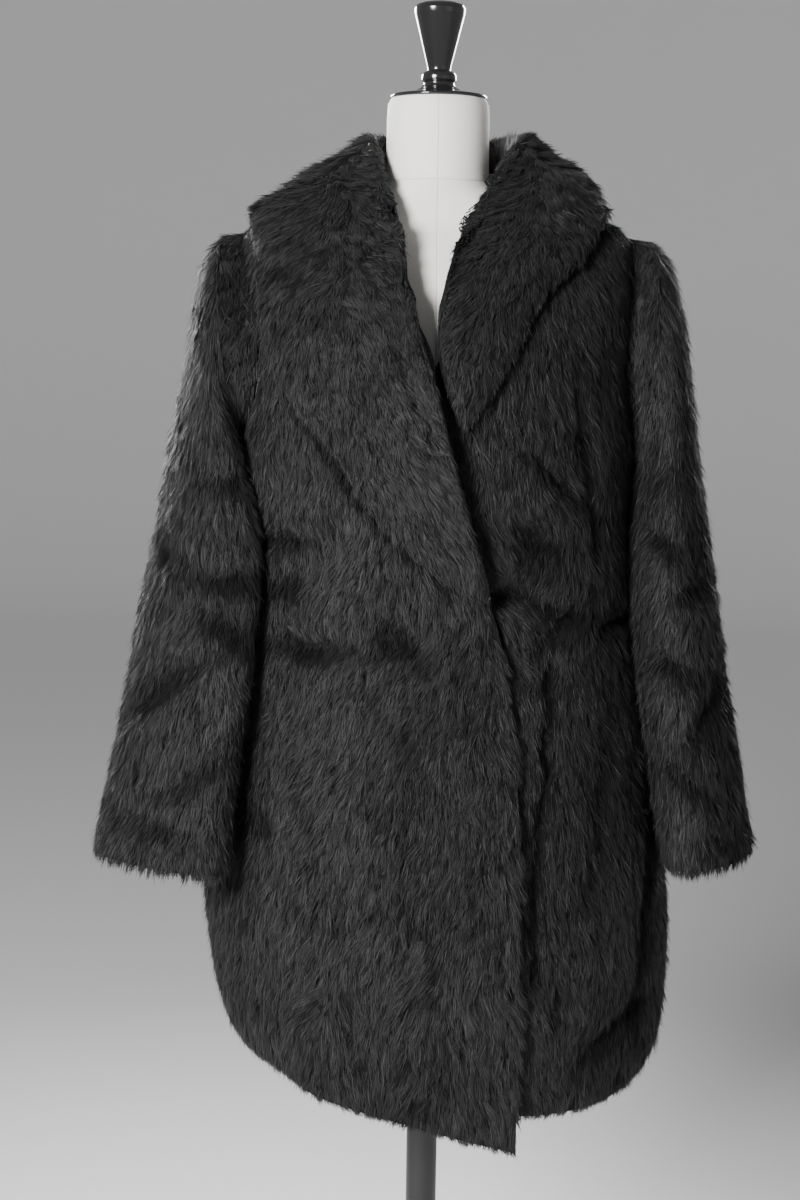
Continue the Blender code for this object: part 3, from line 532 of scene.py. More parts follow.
def drift(points, size, seed):
    """Smooth unevenness from -1 to 1, in patches of about this size."""
    place = points / size + seed * 7.31
    cell = np.floor(place).astype(np.int64)
    part = place - cell
    part = part * part * (3 - 2 * part)
    total = np.zeros(points.shape[:-1])
    for corner in itertools.product((0, 1), repeat=3):
        a, b, c = np.moveaxis(cell + corner, -1, 0)
        mixed = (a * 73856093) ^ (b * 19349663) ^ (c * 83492791) ^ (seed * 9176)
        mixed = (mixed ^ (mixed >> 13)) * 1274126177
        value = ((mixed ^ (mixed >> 16)) & 0xFFFF) / 32767.5 - 1
        weight = np.prod(np.where(corner, part, 1 - part), axis=-1)
        total += weight * value
    return total


def uneven(kind, points, start=0.0):
    """The start with the layers of one kind of unevenness added."""
    for most, size, seed in UNEVEN[kind]:
        start = start + most * drift(points, size, seed)
    return start


def body_relief(points, amount):
    """How deep creases and partings go at points of the body. Less than 0 stands out."""
    x, y, z = np.moveaxis(points, -1, 0)
    wx, wz = uneven("crease_x", points, x), uneven("crease_height", points, z)
    middle, half_length, fill = SIDE_FILL
    at_side = ease((np.abs(x) - SIDE_FROM) / SIDE_BLEND)
    depth = uneven("body", points) - fill * at_side * bell((z - middle) / half_length)
    for face, creases in BODY_CREASES.items():
        on_face = ease(0.5 + face * y / FACE_BLEND)
        for middle_x, middle, half_length, half_width, slope, most in creases:
            along = (wx - middle_x) / half_length
            across = (wz - middle - slope * (wx - middle_x)) / half_width
            depth = depth + amount * most * on_face * np.exp(-(along**2) - across**2)
    for face, partings in BODY_PARTINGS.items():
        on_face = ease(0.5 + face * y / FACE_BLEND)
        for top_x, foot_x, top, foot, half_width, most in partings:
            share = (top - wz) / (top - foot)
            across = (wx - top_x - (foot_x - top_x) * np.clip(share, 0, 1)) / half_width
            ends = ease(share / PARTING_END + 0.5) * ease((1 - share) / PARTING_END + 0.5)
            depth = depth + amount * most * on_face * ends * bell(across)
    return depth


def quads(index):
    """The cells of a grid of point numbers, as faces."""
    a, b, c, d = index[:-1, :-1], index[:-1, 1:], index[1:, 1:], index[1:, :-1]
    return np.stack([a, b, c, d], -1).reshape(-1, 4)


def closed_up(grid):
    """The grid with its first column again after its last."""
    return np.concatenate([grid, grid[:, :1]], axis=1)


def wall(outer, inner, tube):
    """Points and faces of one closed wall between two grids of points."""
    points = np.concatenate([outer.reshape(-1, 3), inner.reshape(-1, 3)])
    shift = outer.shape[0] * outer.shape[1]
    index = np.arange(shift).reshape(outer.shape[:2])
    if tube:
        index = closed_up(index)
    faces = [quads(index), quads(index)[:, ::-1] + shift]
    rims = [index[0], index[-1][::-1]] + ([] if tube else [index[:, 0][::-1], index[:, -1]])
    for rim in rims:
        faces.append(np.stack([rim[1:], rim[:-1], rim[:-1] + shift, rim[1:] + shift], -1))
    return points, np.concatenate(faces)


class Skin:
    """Where the tips of a piece's pile lie, as a fine grid. Rows follow each other down it."""

    def __init__(self, points, tube=False, outward=1, free=(), depth=0.0):
        self.tube, self.free, self.thinner = tube, free, 0.0
        depth = np.broadcast_to(depth, points.shape[:2])
        if tube:
            points, depth = closed_up(points), closed_up(depth)
        down, across = self.steps(points)
        normal = outward * unit(np.cross(across, down))
        for _ in range(3):
            normal = self.smoothed(normal)
        normal = unit(normal)
        points = points - depth[..., None] * normal
        from_top = np.cumsum(norm(np.diff(points, axis=0, prepend=points[:1])), axis=0)
        from_first = np.cumsum(norm(np.diff(points, axis=1, prepend=points[:, :1])), axis=1)
        self.edges = {
            "top": from_top,
            "foot": from_top[-1:] - from_top,
            "first": from_first,
            "last": from_first[:, -1:] - from_first,
        }
        self.edge = np.ones(points.shape[:2])
        for side in free:
            self.edge = np.minimum(self.edge, self.edges[side])
        self.points, self.normal = points, normal
        self.down, self.across = self.steps(points)
        columns = [points, normal, self.down, self.across, self.edge[..., None], depth[..., None]]
        self.stack = np.concatenate(columns, axis=-1)

    def steps(self, points):
        """The grid's steps down and across at each of its points."""
        down, across = np.gradient(points, axis=0), np.gradient(points, axis=1)
        if self.tube:
            across[:, 0] = across[:, -1] = (points[:, 1] - points[:, -2]) / 2
        return down, across

    def smoothed(self, grid):
        padded = np.concatenate([grid[:1], grid, grid[-1:]])
        grid = (padded[:-2] + 2 * grid + padded[2:]) / 4
        before, after = (grid[:, -2:-1], grid[:, 1:2]) if self.tube else (grid[:, :1], grid[:, -1:])
        padded = np.concatenate([before, grid, after], axis=1)
        return (padded[:, :-2] + 2 * grid + padded[:, 2:]) / 4

    def spot(self, row, column):
        """What the grid holds at these places. Beyond an edge it goes straight on."""
        last_row, last_column = self.stack.shape[0] - 1, self.stack.shape[1] - 1
        if self.tube:
            column = column % last_column
        r = np.clip(row, 0, last_row - 1e-6)
        c = np.clip(column, 0, last_column - 1e-6)
        i, j = r.astype(int), c.astype(int)
        a, b = (r - i)[:, None], (c - j)[:, None]
        g = self.stack
        value = (1 - a) * ((1 - b) * g[i, j] + b * g[i, j + 1])
        value += a * ((1 - b) * g[i + 1, j] + b * g[i + 1, j + 1])
        point, normal, down, across = (value[:, k : k + 3] for k in (0, 3, 6, 9))
        point = point + (row - r)[:, None] * down + (column - c)[:, None] * across
        return point, unit(normal), down, across, value[:, 12], value[:, 13]

    def between(self, insets, top, bottom, spacing=0.013, inset=0.005):
        """Two sides of the cloth, as grids of points so deep under the tips."""
        down, across = self.edges["foot"][0], self.edges["last"][:, 0]
        counts = [max(int(side.max() / spacing), 4) + 1 for side in (down, across)]
        a, b = (np.linspace(0, 1, count) for count in counts)
        if self.tube:
            b = b[:-1]
        a, b = np.meshgrid(a, b, indexing="ij")
        last = np.array(self.points.shape[:2]) - 1

        def index(share, at, lengths, sides, last):
            long = np.maximum(np.interp(at, np.arange(len(lengths)), lengths), 1e-4)
            start, end = (
                np.minimum(insets.get(side, inset) / long, 0.4) if side in self.free else 0
                for side in sides
            )
            return (start + share * (1 - start - end)) * last

        column = index(b, a * last[0], across, ("first", "last"), last[1])
        row = index(a, column, down, ("top", "foot"), last[0])
        spots = self.spot(row.ravel(), column.ravel())
        point, normal = (v.reshape(*a.shape, 3) for v in spots[:2])
        thinner = self.thinner * spots[5].reshape(*a.shape, 1)
        return point - (top + thinner) * normal, point - bottom * normal


def arm_oval(turns, shrink, side, face):
    half_height = (ARM_TOP - ARM_BOTTOM) / 2 - shrink
    half_angle = math.radians(ARM_HALF_ANGLES[side, face]) - shrink / TRUNK.read("front", CHEST)
    height = (ARM_TOP + ARM_BOTTOM) / 2 - half_height * np.cos(turns)
    return height, half_angle * np.abs(np.sin(turns))


def panel_side(side, face, heights):
    """The angle from the side seam at which a panel starts, at each height."""
    half_height = (ARM_TOP - ARM_BOTTOM) / 2 + SEAM_GAP / 2
    turns = np.arccos(np.clip(((ARM_TOP + ARM_BOTTOM) / 2 - heights) / half_height, -1, 1))
    _, sides = arm_oval(turns, -SEAM_GAP / 2, side, face)
    return np.maximum(sides, SEAM_GAP / 2 / SIDE_REACH)


def panel_skin(name, columns, first, last, heights, lift_at, amount):
    share = np.linspace(0, 1, columns + 1)[None, :]
    angles = first[:, None] + (last - first)[:, None] * share
    heights = heights[:, None] + 0 * angles
    x = oval(TRUNK, heights, angles)[..., 0]
    start, middle, end = HEM_RISE[name]
    rise = start * (1 - share) * (1 - 2 * share) + end * share * (2 * share - 1)
    rise = rise + middle * 4 * share * (1 - share)
    points = trunk_point(heights, angles, lift_at(x, heights), rise)
    free = ("foot", "top") if name == "back" else ("foot", "last", "top")
    outward = 1 if last[-1] < first[-1] else -1
    return Skin(points, outward=outward, free=free, depth=body_relief(points, amount))


def body_skins(amount):
    """The back, the left front and the right front."""
    z = np.linspace(NECKLINE, HEM, 203)
    edge_left, edge_right = (angle_at(edge.read("x", z), z) for edge in (LEFT_EDGE, RIGHT_EDGE))
    back, back_end = panel_side("left", "back", z), math.pi - panel_side("right", "back", z)
    left, right = -panel_side("left", "front", z), panel_side("right", "front", z) - math.pi
    return {
        "back": panel_skin("back", 120, back, back_end, z, no_lift, amount),
        "front_left": panel_skin("front_left", 72, left, edge_left, z, no_lift, amount),
        "front_right": panel_skin("front_right", 80, right, edge_right, z, lap, amount),
    }


def armhole_ring(turns, side):
    """Points of the trunk round an armhole, where a sleeve starts."""
    word = "left" if side > 0 else "right"
    height, front = arm_oval(np.abs(turns), SEAM_GAP / 2, word, "front")
    height, back = arm_oval(np.abs(turns), SEAM_GAP / 2, word, "back")
    from_seam = np.where(turns > 0, front, -back)
    return trunk_point(height, -from_seam if side > 0 else math.pi + from_seam)


def degrees_off(turn, middle):
    return (turn - middle + 180) % 360 - 180


def sleeve_skin(side, sizes, amount):
    """A set-in sleeve, from its armhole to its open cuff."""
    turns = np.linspace(0, 2 * math.pi, 112, endpoint=False)
    turns = np.where(turns > math.pi, turns - 2 * math.pi, turns)
    rows = np.linspace(1, sizes.key[-1], 118)
    cross, down = -np.cos(turns), np.sin(turns)
    inner_front = np.where((turns > 0) & (turns < math.pi / 2), np.sin(2 * turns), 0)

    def read(column):
        return sizes.read(column, rows)[:, None]

    wide = np.sign(cross) * np.abs(cross) ** OVAL_POWER
    x, y, z = (
        (read("outer_" + axis) + read("inner_" + axis)) / 2
        + (read("outer_" + axis) - read("inner_" + axis)) / 2 * wide
        for axis in "xyz"
    )
    y = y - read("half_depth") * np.sign(down) * np.abs(down) ** OVAL_POWER
    x = x - read("fullness") * inner_front
    outer = pushed_clear(np.stack([side * x, y, z], axis=-1), SLEEVE_CLEAR)
    start = armhole_ring(turns, side)
    mouth = start + [side * ARM_STEP_OUT, 0, -ARM_STEP_DOWN]
    between = [start, start + (mouth - start) * 0.5, mouth]
    between += [mouth + (outer[0] - mouth) * share for share in (0.33, 0.66)]
    points = np.concatenate([np.array(between), outer])
    turn = np.degrees(turns) % 360
    height = uneven("fold_height", points, points[..., 2])
    depth = uneven("sleeve", points)
    for fold, half_width, most, deepest, reach, slope in SLEEVE_FOLDS[side]:
        offset = degrees_off(turn, deepest)
        drop = slope * FOLD_SLOPE * np.sin(np.radians(offset))
        across = (height - fold - drop) / half_width
        depth = depth + amount * most * bell(offset / reach) * bell(across)
    middle, half_length, fill = SLEEVE_FILL[side]
    inner = bell(degrees_off(turn, 0) / SLEEVE_INNER)
    depth = depth - fill * inner * bell((height - middle) / half_length)
    depth *= ease(np.arange(len(points)) / FOLDS_START)[:, None]
    return Skin(points, tube=True, outward=-side, free=("foot",), depth=depth)


def smooth_between(points, at):
    key = np.concatenate([[0], np.cumsum(norm(np.diff(points, axis=0)))])
    table = Table("along x y z", np.column_stack([key / key[-1], points]))
    return np.stack([table.read(axis, at) for axis in "xyz"], axis=-1)


def lift_under_collar(side, x, height):
    return lap(x, height - COLLAR_WALL) if side < 0 else 0 * x


def collar_rows(side):
    """Points of the foot, the roll, the middle and the outer edge, from the neck to the lapel."""
    stations = []
    on_panel = COLLAR_WALL / 2 + COLLAR_GAP
    for roll_x, roll_y, roll_z, edge_x, edge_z, face in COLLAR_NECK[side]:
        roll = np.array([roll_x, roll_y, roll_z])
        edge = trunk_point(edge_z, angle_at(edge_x, edge_z, face), on_panel + SHOULDER_EASE)
        foot = oval(TRUNK, NECKLINE, math.atan2(roll_y, roll_x)) * [STAND_SHARE, STAND_SHARE, 1]
        foot[2] += STAND_GAP
        outward = unit((edge + roll) * [1, 1, 0]) + np.array([0, 0, 0.8])
        middle = (roll + edge) / 2 + FALL_BULGE[side] * unit(outward)
        stations.append((foot, roll, middle, edge))
    for roll_z, roll_x, edge_x, edge_z in LAPEL[side]:
        ends = []
        for x, z in (
            (roll_x, roll_z),
            ((roll_x + edge_x) / 2, (roll_z + edge_z) / 2),
            (edge_x, edge_z),
        ):
            ends.append(trunk_point(z, angle_at(x, z), on_panel + lift_under_collar(side, x, z)))
        roll, middle, edge = ends
        stations.append((roll + LAPEL_TURN * unit(roll - middle), roll, middle, edge))
    return np.array(stations)


def collar_skin(name, side, along):
    """Half of the shawl collar. Its rows go from the stand's foot over the roll to the edge."""
    stations = collar_rows(side)
    across, at = np.linspace(0, 1, 49), np.linspace(0, 1, along)
    lines = np.stack([smooth_between(stations[:, k], at) for k in range(4)], axis=1)
    centre = np.stack([smooth_between(row, across) for row in lines])
    if side > 0:
        centre[..., 0] = np.maximum(centre[..., 0], SEAM_GAP / 2)
    lift = lift_under_collar(side, centre[..., 0], centre[..., 2])
    lift = lift + SHOULDER_EASE * ease((centre[..., 2] - CHEST) / (ARM_TOP - CHEST))
    lies_on_coat = (across > COLLAR_TURNED_OVER)[None, :] & (centre[..., 2] < COLLAR_LIES_BELOW)
    clear = pushed_clear(centre, COLLAR_WALL / 2 + COLLAR_GAP + lift)
    centre = np.where(lies_on_coat[..., None], clear, centre)
    centre[0, :, 0] = side * SEAM_GAP / 2
    centre = centre.transpose(1, 0, 2)
    normal = unit(np.cross(np.gradient(centre, axis=1), np.gradient(centre, axis=0)))
    outward = np.sign((normal[-3:] * (centre[-3:] * [1, 1, 0])).sum())
    free = ("top", "foot", "last")
    core = Skin(centre, outward=outward, free=free)
    # The outer edge thins out, so that its pile runs into the coat's
    from_edge = np.minimum(core.edges["foot"], core.edges["last"])
    thin = COLLAR_THINS * np.clip(1 - from_edge / COLLAR_THINS_FROM, 0, 1) ** 2
    core.stack[..., 13], core.thinner = thin, 1.0
    depth = uneven("collar", centre)
    depth = depth + ROLL_SINKS * np.clip(1 - core.edges["top"] / ROLL_SINKS_FROM, 0, 1) ** 2
    tips = centre + (COLLAR_WALL / 2 - depth - thin)[..., None] * core.normal
    under = centre - COLLAR_WALL / 2 * core.normal
    return {
        name: Skin(tips, outward=outward, free=free),
        name + "_under": Skin(under, outward=-outward, free=free),
        name + "_core": core,
    }


# ---------------------------------------------------------------- the pile


def strokes(flow, x, z, base_weight=0.12):
    """The angle at which pile lies at x and z, from the listed strokes of the comb."""
    total, weight = np.zeros(x.shape), np.full(x.shape, base_weight)
    for middle_x, middle, degrees, reach in flow:
        near = np.exp(-((x - middle_x) ** 2 + (z - middle) ** 2) / reach**2)
        total, weight = total + near * degrees, weight + near
    return total / weight


def turned_by(straight, normal, degrees):
    angle = np.radians(degrees)[:, None]
    return np.cos(angle) * straight + np.sin(angle) * np.cross(normal, straight)


def body_comb(points, normal, down):
    """The way in which the body's pile lies, as unit vectors in its surface."""
    x, y, z = points.T
    drawn = np.where(y < 0, strokes(BODY_FLOW[-1], x, z), strokes(BODY_FLOW[1], -x, z))
    straight = DOWN - (-normal[:, 2:3]) * normal
    return turned_by(unit(straight), normal, uneven("body_comb", points, drawn))


def sleeve_comb(points, normal, down):
    fold_zone = bell((points[:, 2] - 0.95) / 0.07)
    degrees = uneven("sleeve_comb", points) * (1 + 0.9 * fold_zone)
    straight = 0.25 * unit(down) + DOWN
    straight = straight - dot(straight, normal)[:, None] * normal
    return turned_by(unit(straight), normal, degrees)


def collar_comb(side):
    def comb(points, normal, down):
        x, y, z = points.T
        straight = DOWN + normal[:, 2:3] * normal
        seen = ease((-y - 0.005) / 0.03)
        drawn = strokes(COLLAR_FLOW[side], x, z, base_weight=0.02) * seen
        degrees = uneven("collar_comb", points, drawn)
        flow = turned_by(unit(straight + 1e-6), normal, degrees)
        # Behind the neck and over the shoulders it is combed outwards over the roll
        mix = (1 - seen)[:, None]
        return unit(flow * (1 - mix) + turned_by(unit(down), normal, degrees * 0.6) * mix)

    return comb


def nearest_locks(rng, row, column, long, wide):
    """Each blade's lock, by number, its middle, and from 0 to 1 how near its rim the blade is."""
    y, x = row / long, column / wide
    shift_y, shift_x = y.min() // 1 - 1, x.min() // 1 - 1
    y, x = y - shift_y, x - shift_x
    i, j = np.floor(y).astype(int), np.floor(x).astype(int)
    table = rng.random((i.max() + 3, j.max() + 3, 2))
    best, second = np.full(len(y), np.inf), np.full(len(y), np.inf)
    lock, middle_y, middle_x = (np.zeros(len(y), kind) for kind in (int, float, float))
    for di, dj in itertools.product((-1, 0, 1), repeat=2):
        ci, cj = i + di, j + dj
        cy, cx = ci + table[ci, cj, 0], cj + table[ci, cj, 1]
        away = (y - cy) ** 2 + (x - cx) ** 2
        nearer = away < best
        second = np.where(nearer, best, np.minimum(second, away))
        best = np.where(nearer, away, best)
        lock = np.where(nearer, ci * table.shape[1] + cj, lock)
        middle_y, middle_x = np.where(nearer, cy, middle_y), np.where(nearer, cx, middle_x)
    of_lock = rng.normal(size=(table.shape[0] * table.shape[1], 4))[lock]
    middle_row, middle_column = (middle_y + shift_y) * long, (middle_x + shift_x) * wide
    return of_lock, middle_row, middle_column, np.sqrt(best / second)


def scatter(rng, skin, density, keep):
    """Places on the grid, so many to each square metre, wherever keep allows a root."""
    p = skin.points
    area = norm(np.cross(p[1:, 1:] - p[:-1, :-1], p[1:, :-1] - p[:-1, 1:])) / 2
    density = density * (1 + EDGE_FILL * bell(skin.edge[:-1, :-1] / EDGE_FILL_REACH))
    count = np.floor(area * density + rng.random(area.shape)).astype(int)
    count = np.where(keep[:-1, :-1] & keep[1:, 1:], count, 0)
    i, j = np.divmod(np.repeat(np.arange(count.size), count.ravel()), area.shape[1])
    return i + rng.random(len(i)), j + rng.random(len(j))


def grid_way(direction, normal, down, across):
    """A direction along the surface, as steps of the grid for each metre."""
    way = unit(direction - dot(direction, normal)[:, None] * normal)
    a, b, c = dot(down, down), dot(down, across), dot(across, across)
    p, q = dot(way, down), dot(way, across)
    det = np.maximum(a * c - b * b, 1e-14)
    return np.array([(c * p - b * q) / det, (a * q - b * p) / det])


def grow(skin, comb, length, settings, seed, keep, density_share=1.0, overhang=None, turned=0.0):
    """Points and UVs of one blade after another: the two corners of its foot, then its tip.

    Overhang is how far the blades reach past each free edge, and turned the share of those near
    the top edge that lie over it."""
    rng = np.random.default_rng(seed)
    density = settings.density * 1e4 * density_share * 1
    place = np.array(scatter(rng, skin, density, keep))
    step_down, step_across = norm(skin.down).mean(), norm(skin.across).mean()
    wide = settings.lock_width / step_across
    long = LOCK_LENGTH * settings.lock_width / step_down
    of_lock, *middle, rim = nearest_locks(rng, *place, long, wide)
    count = len(rim)

    point, normal, down = skin.spot(*middle)[:3]
    off = TURN_OF_LOCK * of_lock[:, 0] + TURN_OF_BLADE * rng.normal(size=count)
    way = turned_by(comb(point, normal, down), normal, off)
    root, normal, down, across, _, depth = skin.spot(*place)
    near_fold = place[0] * norm(down) if "top" in skin.free else 0 * place[0]
    in_front = ease(-(root[:, 1] + 0.055) / 0.03)
    over_fold = rng.random(count) < turned * bell(near_fold / FOLD_REACH) * in_front
    way = np.where(over_fold[:, None], -way, way)

    long_each = 1 + LENGTH_OF_LOCK * of_lock[:, 1] + LENGTH_OF_BLADE * rng.normal(size=count)
    long_each = length * np.clip(long_each, SHORTEST, LONGEST)
    long_each = np.where(over_fold, FOLD_LENGTH * long_each, long_each)
    stray = rng.random(count) < settings.strays
    draw = np.where(stray, STRAY_GATHERING, settings.gathering)
    half = place + grid_way(way, normal, down, across) * long_each / 2
    half_point, half_normal, half_down, half_across, _, _ = skin.spot(*half)
    tip = half + grid_way(way, half_normal, half_down, half_across) * long_each / 2
    tip += draw * (np.array(middle) - place)

    # A blade doesn't bridge a crease, but ends in it
    gap = dot((root + skin.spot(*tip)[0]) / 2 - half_point, half_normal)
    tip += BRIDGE_CUT * np.clip((gap - BRIDGE_FROM) / BRIDGE_RANGE, 0, 1) * (half - tip)

    # Blades near a free edge end about at it, and bend in
    _, _, tip_down, tip_across, _, _ = skin.spot(*tip)
    uneven_end = END_OF_LOCK * of_lock[:, 2] + END_OF_BLADE * rng.normal(size=count)
    uneven_end += END_OF_STRAY * stray
    step = norm(tip_down), norm(tip_across)
    over = np.zeros(count)
    for side, k, sign in (("top", 0, -1), ("foot", 0, 1), ("first", 1, -1), ("last", 1, 1)):
        if side not in skin.free:
            continue
        last = skin.points.shape[k] - 1 if sign > 0 else 0
        reach_past = (overhang or {}).get(side, OVERHANG)
        beyond = reach_past + uneven_end * (1 + reach_past / END_GROWS)
        past = sign * (tip[k] - last) * step[k]
        tip[k] = np.where(past > beyond, last + sign * beyond / step[k], tip[k])
        over = np.maximum(over, np.minimum(past, beyond))

    # Thin partings run down between the locks. Their blades sink, and are darkened as painted shade
    row, column = (place + tip) / 2
    place = np.stack([column * step_across, row * step_down / PARTING_STRETCH, 0 * row], -1)
    parting = bell(drift(place + 0.1 * seed, PARTING_SIZE, 71) / PARTING_WIDTH)
    parting *= ease(0.5 + 1.6 * drift(root, 0.06, 72))

    tip, tip_normal, _, _, tip_edge, _ = skin.spot(*tip)
    inside = np.where(over > 0, -over, tip_edge)
    droop = np.clip(EDGE_ROUND - inside, 0, None) ** 2 / (3.4 * EDGE_ROUND)
    droop = np.minimum(droop, EDGE_DROOP)
    droop = np.where(over_fold, FOLD_DROOP * droop, droop)
    rim = ease((rim - 0.55) / 0.45)
    lift = LIFT_OF_LOCK * of_lock[:, 3] + LIFT_OF_BLADE * rng.normal(size=count)
    lift = lift - PARTING_SINKS * parting - RIM_SINKS * rim
    lift += settings.tufts * np.clip(of_lock[:, 3] - TUFT_FROM, 0, TUFT_MOST) * (1 - rim)
    lift = np.where(stray, np.abs(lift) + settings.fuzz * rng.random(count) ** 1.7, lift)
    lift = np.clip(lift, LOWEST, HIGHEST)
    foot = root - ROOTS * normal
    tip = tip + (lift - droop - UNDER_SURFACE)[:, None] * tip_normal

    tip = foot + (tip - foot) * np.minimum(1, STRETCH * long_each / norm(tip - foot))[:, None]
    line = unit(tip - foot)
    side = unit(np.cross(normal + tip_normal, line))
    roll = np.radians(settings.tilt) * rng.normal(size=count)
    side = np.cos(roll)[:, None] * side + np.sin(roll)[:, None] * normal
    side = (settings.blade_width / 2 * (0.75 + 0.5 * rng.random(count)))[:, None] * side
    points = np.stack([foot - side, foot + side, tip], axis=1)

    shade = SHADE + SHADE_OF_LOCK * of_lock[:, 1] + settings.mottle * rng.normal(size=count)
    shade += uneven("shade", foot)
    # Painted shade: the blades are darkened in partings, at the rims of their locks, and where the
    # surface goes into a crease or fold
    crease_shade = np.clip((depth - 0.001) / CREASE_DEEP, -0.12, 1)
    shade -= PARTING_PAINTED_SHADE * parting + RIM_PAINTED_SHADE * rim + CREASE_PAINTED_SHADE * crease_shade
    uv = np.empty((count, 3, 2))
    uv[..., 0] = np.clip(shade, 0.03, 0.97)[:, None] + [-0.004, 0.004, 0.0]
    uv[..., 1] = [0.02, 0.02, 0.98]
    return points, uv


def placed(name, data, collection):
    made = bpy.data.objects.new(name, data)
    collection.objects.link(made)
    return made


def blade_object(name, points, uv, material, collection):
    """One mesh of all these blades, a triangle each."""
    count = len(points)
    mesh = bpy.data.meshes.new(name)
    mesh.vertices.add(3 * count)
    mesh.vertices.foreach_set("co", points.astype(np.float32).ravel())
    mesh.loops.add(3 * count)
    mesh.loops.foreach_set("vertex_index", np.arange(3 * count, dtype=np.int32))
    mesh.polygons.add(count)
    mesh.polygons.foreach_set("loop_start", (3 * np.arange(count)).astype(np.int32))
    mesh.polygons.foreach_set("loop_total", np.full(count, 3, np.int32))
    layer = mesh.uv_layers.new(name="OFBake")
    layer.data.foreach_set("uv", uv.astype(np.float32).ravel())
    mesh.materials.append(material)
    mesh.update()
    return placed(name, mesh, collection)


def finish_mesh(work, mesh, sharp):
    """Writes the work to the mesh, smooth but for edges sharper than so many degrees."""
    bmesh.ops.recalc_face_normals(work, faces=work.faces)
    work.to_mesh(mesh)
    work.free()
    mesh.shade_smooth()
    mesh.set_sharp_from_angle(angle=math.radians(sharp))


def solid_object(name, points, faces, material, collection):
    mesh = bpy.data.meshes.new(name)
    mesh.from_pydata(points.tolist(), [], faces.tolist())
    mesh.update()
    work = bmesh.new()
    work.from_mesh(mesh)
    finish_mesh(work, mesh, 50)
    mesh.materials.append(material)
    return placed(name, mesh, collection)


# ---------------------------------------------------------------- materials


def feed(tree, node, inputs):
    """Sets the node's inputs. Each takes a value, or the socket that it is linked to."""
    for socket, value in inputs.items():
        if isinstance(value, bpy.types.NodeSocket):
            tree.links.new(value, node.inputs[socket])
        else:
            node.inputs[socket].default_value = value


def add(tree, kind, output, inputs=None, **settings):
    """Adds a node and gives back one of its outputs."""
    node = tree.nodes.new("ShaderNode" + kind)
    for name, value in settings.items():
        setattr(node, name, value)
    feed(tree, node, inputs or {})
    return node.outputs[output]


def maths(tree, operation, *values):
    return add(tree, "Math", "Value", dict(enumerate(values)), operation=operation)


def objects_place(tree):
    return add(tree, "TexCoord", "Object")


def new_material(name, colour, roughness, metallic=0.0):
    material = bpy.data.materials.new(name)
    material.use_nodes = True
    tree = material.node_tree
    shader = tree.nodes["Principled BSDF"]
    looks = {"Base Color": (*colour, 1), "Roughness": roughness, "Metallic": metallic}
    feed(tree, shader, looks)
    return material, tree, shader


def ramp(tree, value, stops):
    node = tree.nodes.new("ShaderNodeValToRGB")
    elements = node.color_ramp.elements
    while len(elements) < len(stops):
        elements.new(0.5)
    for element, (place, colour) in zip(elements, stops):
        element.position = place
        element.color = (*colour, 1)
    feed(tree, node, {"Fac": value})
    return node.outputs["Color"]


def uneven_group():
    """A shared shader group: soft blotches and fine grain, for tone, roughness and bump."""
    name = "uneven_surface"
    if name in bpy.data.node_groups:
        return bpy.data.node_groups[name]
    group = bpy.data.node_groups.new(name, "ShaderNodeTree")
    sockets = [("INPUT", socket) for socket in ("Blotch Scale", "Grain Scale", "Low", "High")]
    for way, socket in sockets + [("OUTPUT", "Value"), ("OUTPUT", "Height")]:
        group.interface.new_socket(name=socket, in_out=way, socket_type="NodeSocketFloat")
    given = group.nodes.new("NodeGroupInput").outputs
    place = objects_place(group)
    blotch, grain = (
        add(group, "TexNoise", "Fac", {"Vector": place, "Scale": given[scale], "Detail": 3})
        for scale in ("Blotch Scale", "Grain Scale")
    )
    spread = {"Value": blotch, "From Min": 0.3, "From Max": 0.7}
    spread |= {"To Min": given["Low"], "To Max": given["High"]}
    value = add(group, "MapRange", "Result", spread)
    feed(group, group.nodes.new("NodeGroupOutput"), {"Value": value, "Height": grain})
    return group


def add_uneven(tree, blotch, grain, low, high):
    node = tree.nodes.new("ShaderNodeGroup")
    node.node_tree = uneven_group()
    looks = {"Blotch Scale": blotch, "Grain Scale": grain, "Low": low, "High": high}
    feed(tree, node, looks)
    return node.outputs


def bump_from(tree, shader, height, strength, distance):
    inputs = {"Height": height, "Strength": strength, "Distance": distance}
    feed(tree, shader, {"Normal": add(tree, "Bump", "Normal", inputs)})


def pile_material(name, settings):
    """Charcoal pile with locks of slightly different greys, which also hold painted shade in
    partings, at the rims of locks and in creases. It is dark at the root, as painted shade deep in
    the pile.
    """
    colour = np.array(settings.pile_colour[:3])
    material, tree, shader = new_material(name, colour, 0.6)
    uv = add(tree, "UVMap", "UV", uv_map="OFBake")
    tone, along = (add(tree, "SeparateXYZ", axis, {"Vector": uv}) for axis in "XY")
    tones = ((0.0, 0.14), (0.25, 0.45), (0.5, 1.0), (0.8, 1.7), (1.0, 2.6))
    # Darker towards the root: painted shade deep in the pile
    root_shade_to_tip = ((0.0, 0.2), (0.35, 0.6), (0.75, 1.0), (1.0, 1.25))
    mixed = {
        "Factor": 1.0,
        6: ramp(tree, tone, [(place, colour * share) for place, share in tones]),
        7: ramp(tree, along, [(place, [share] * 3) for place, share in root_shade_to_tip]),
    }
    looks = {
        "Base Color": add(tree, "Mix", 2, mixed, data_type="RGBA", blend_type="MULTIPLY"),
        "Specular IOR Level": 0.17,
        "Sheen Weight": 0.05,
        "Sheen Roughness": 0.5,
    }
    feed(tree, shader, looks)
    return material


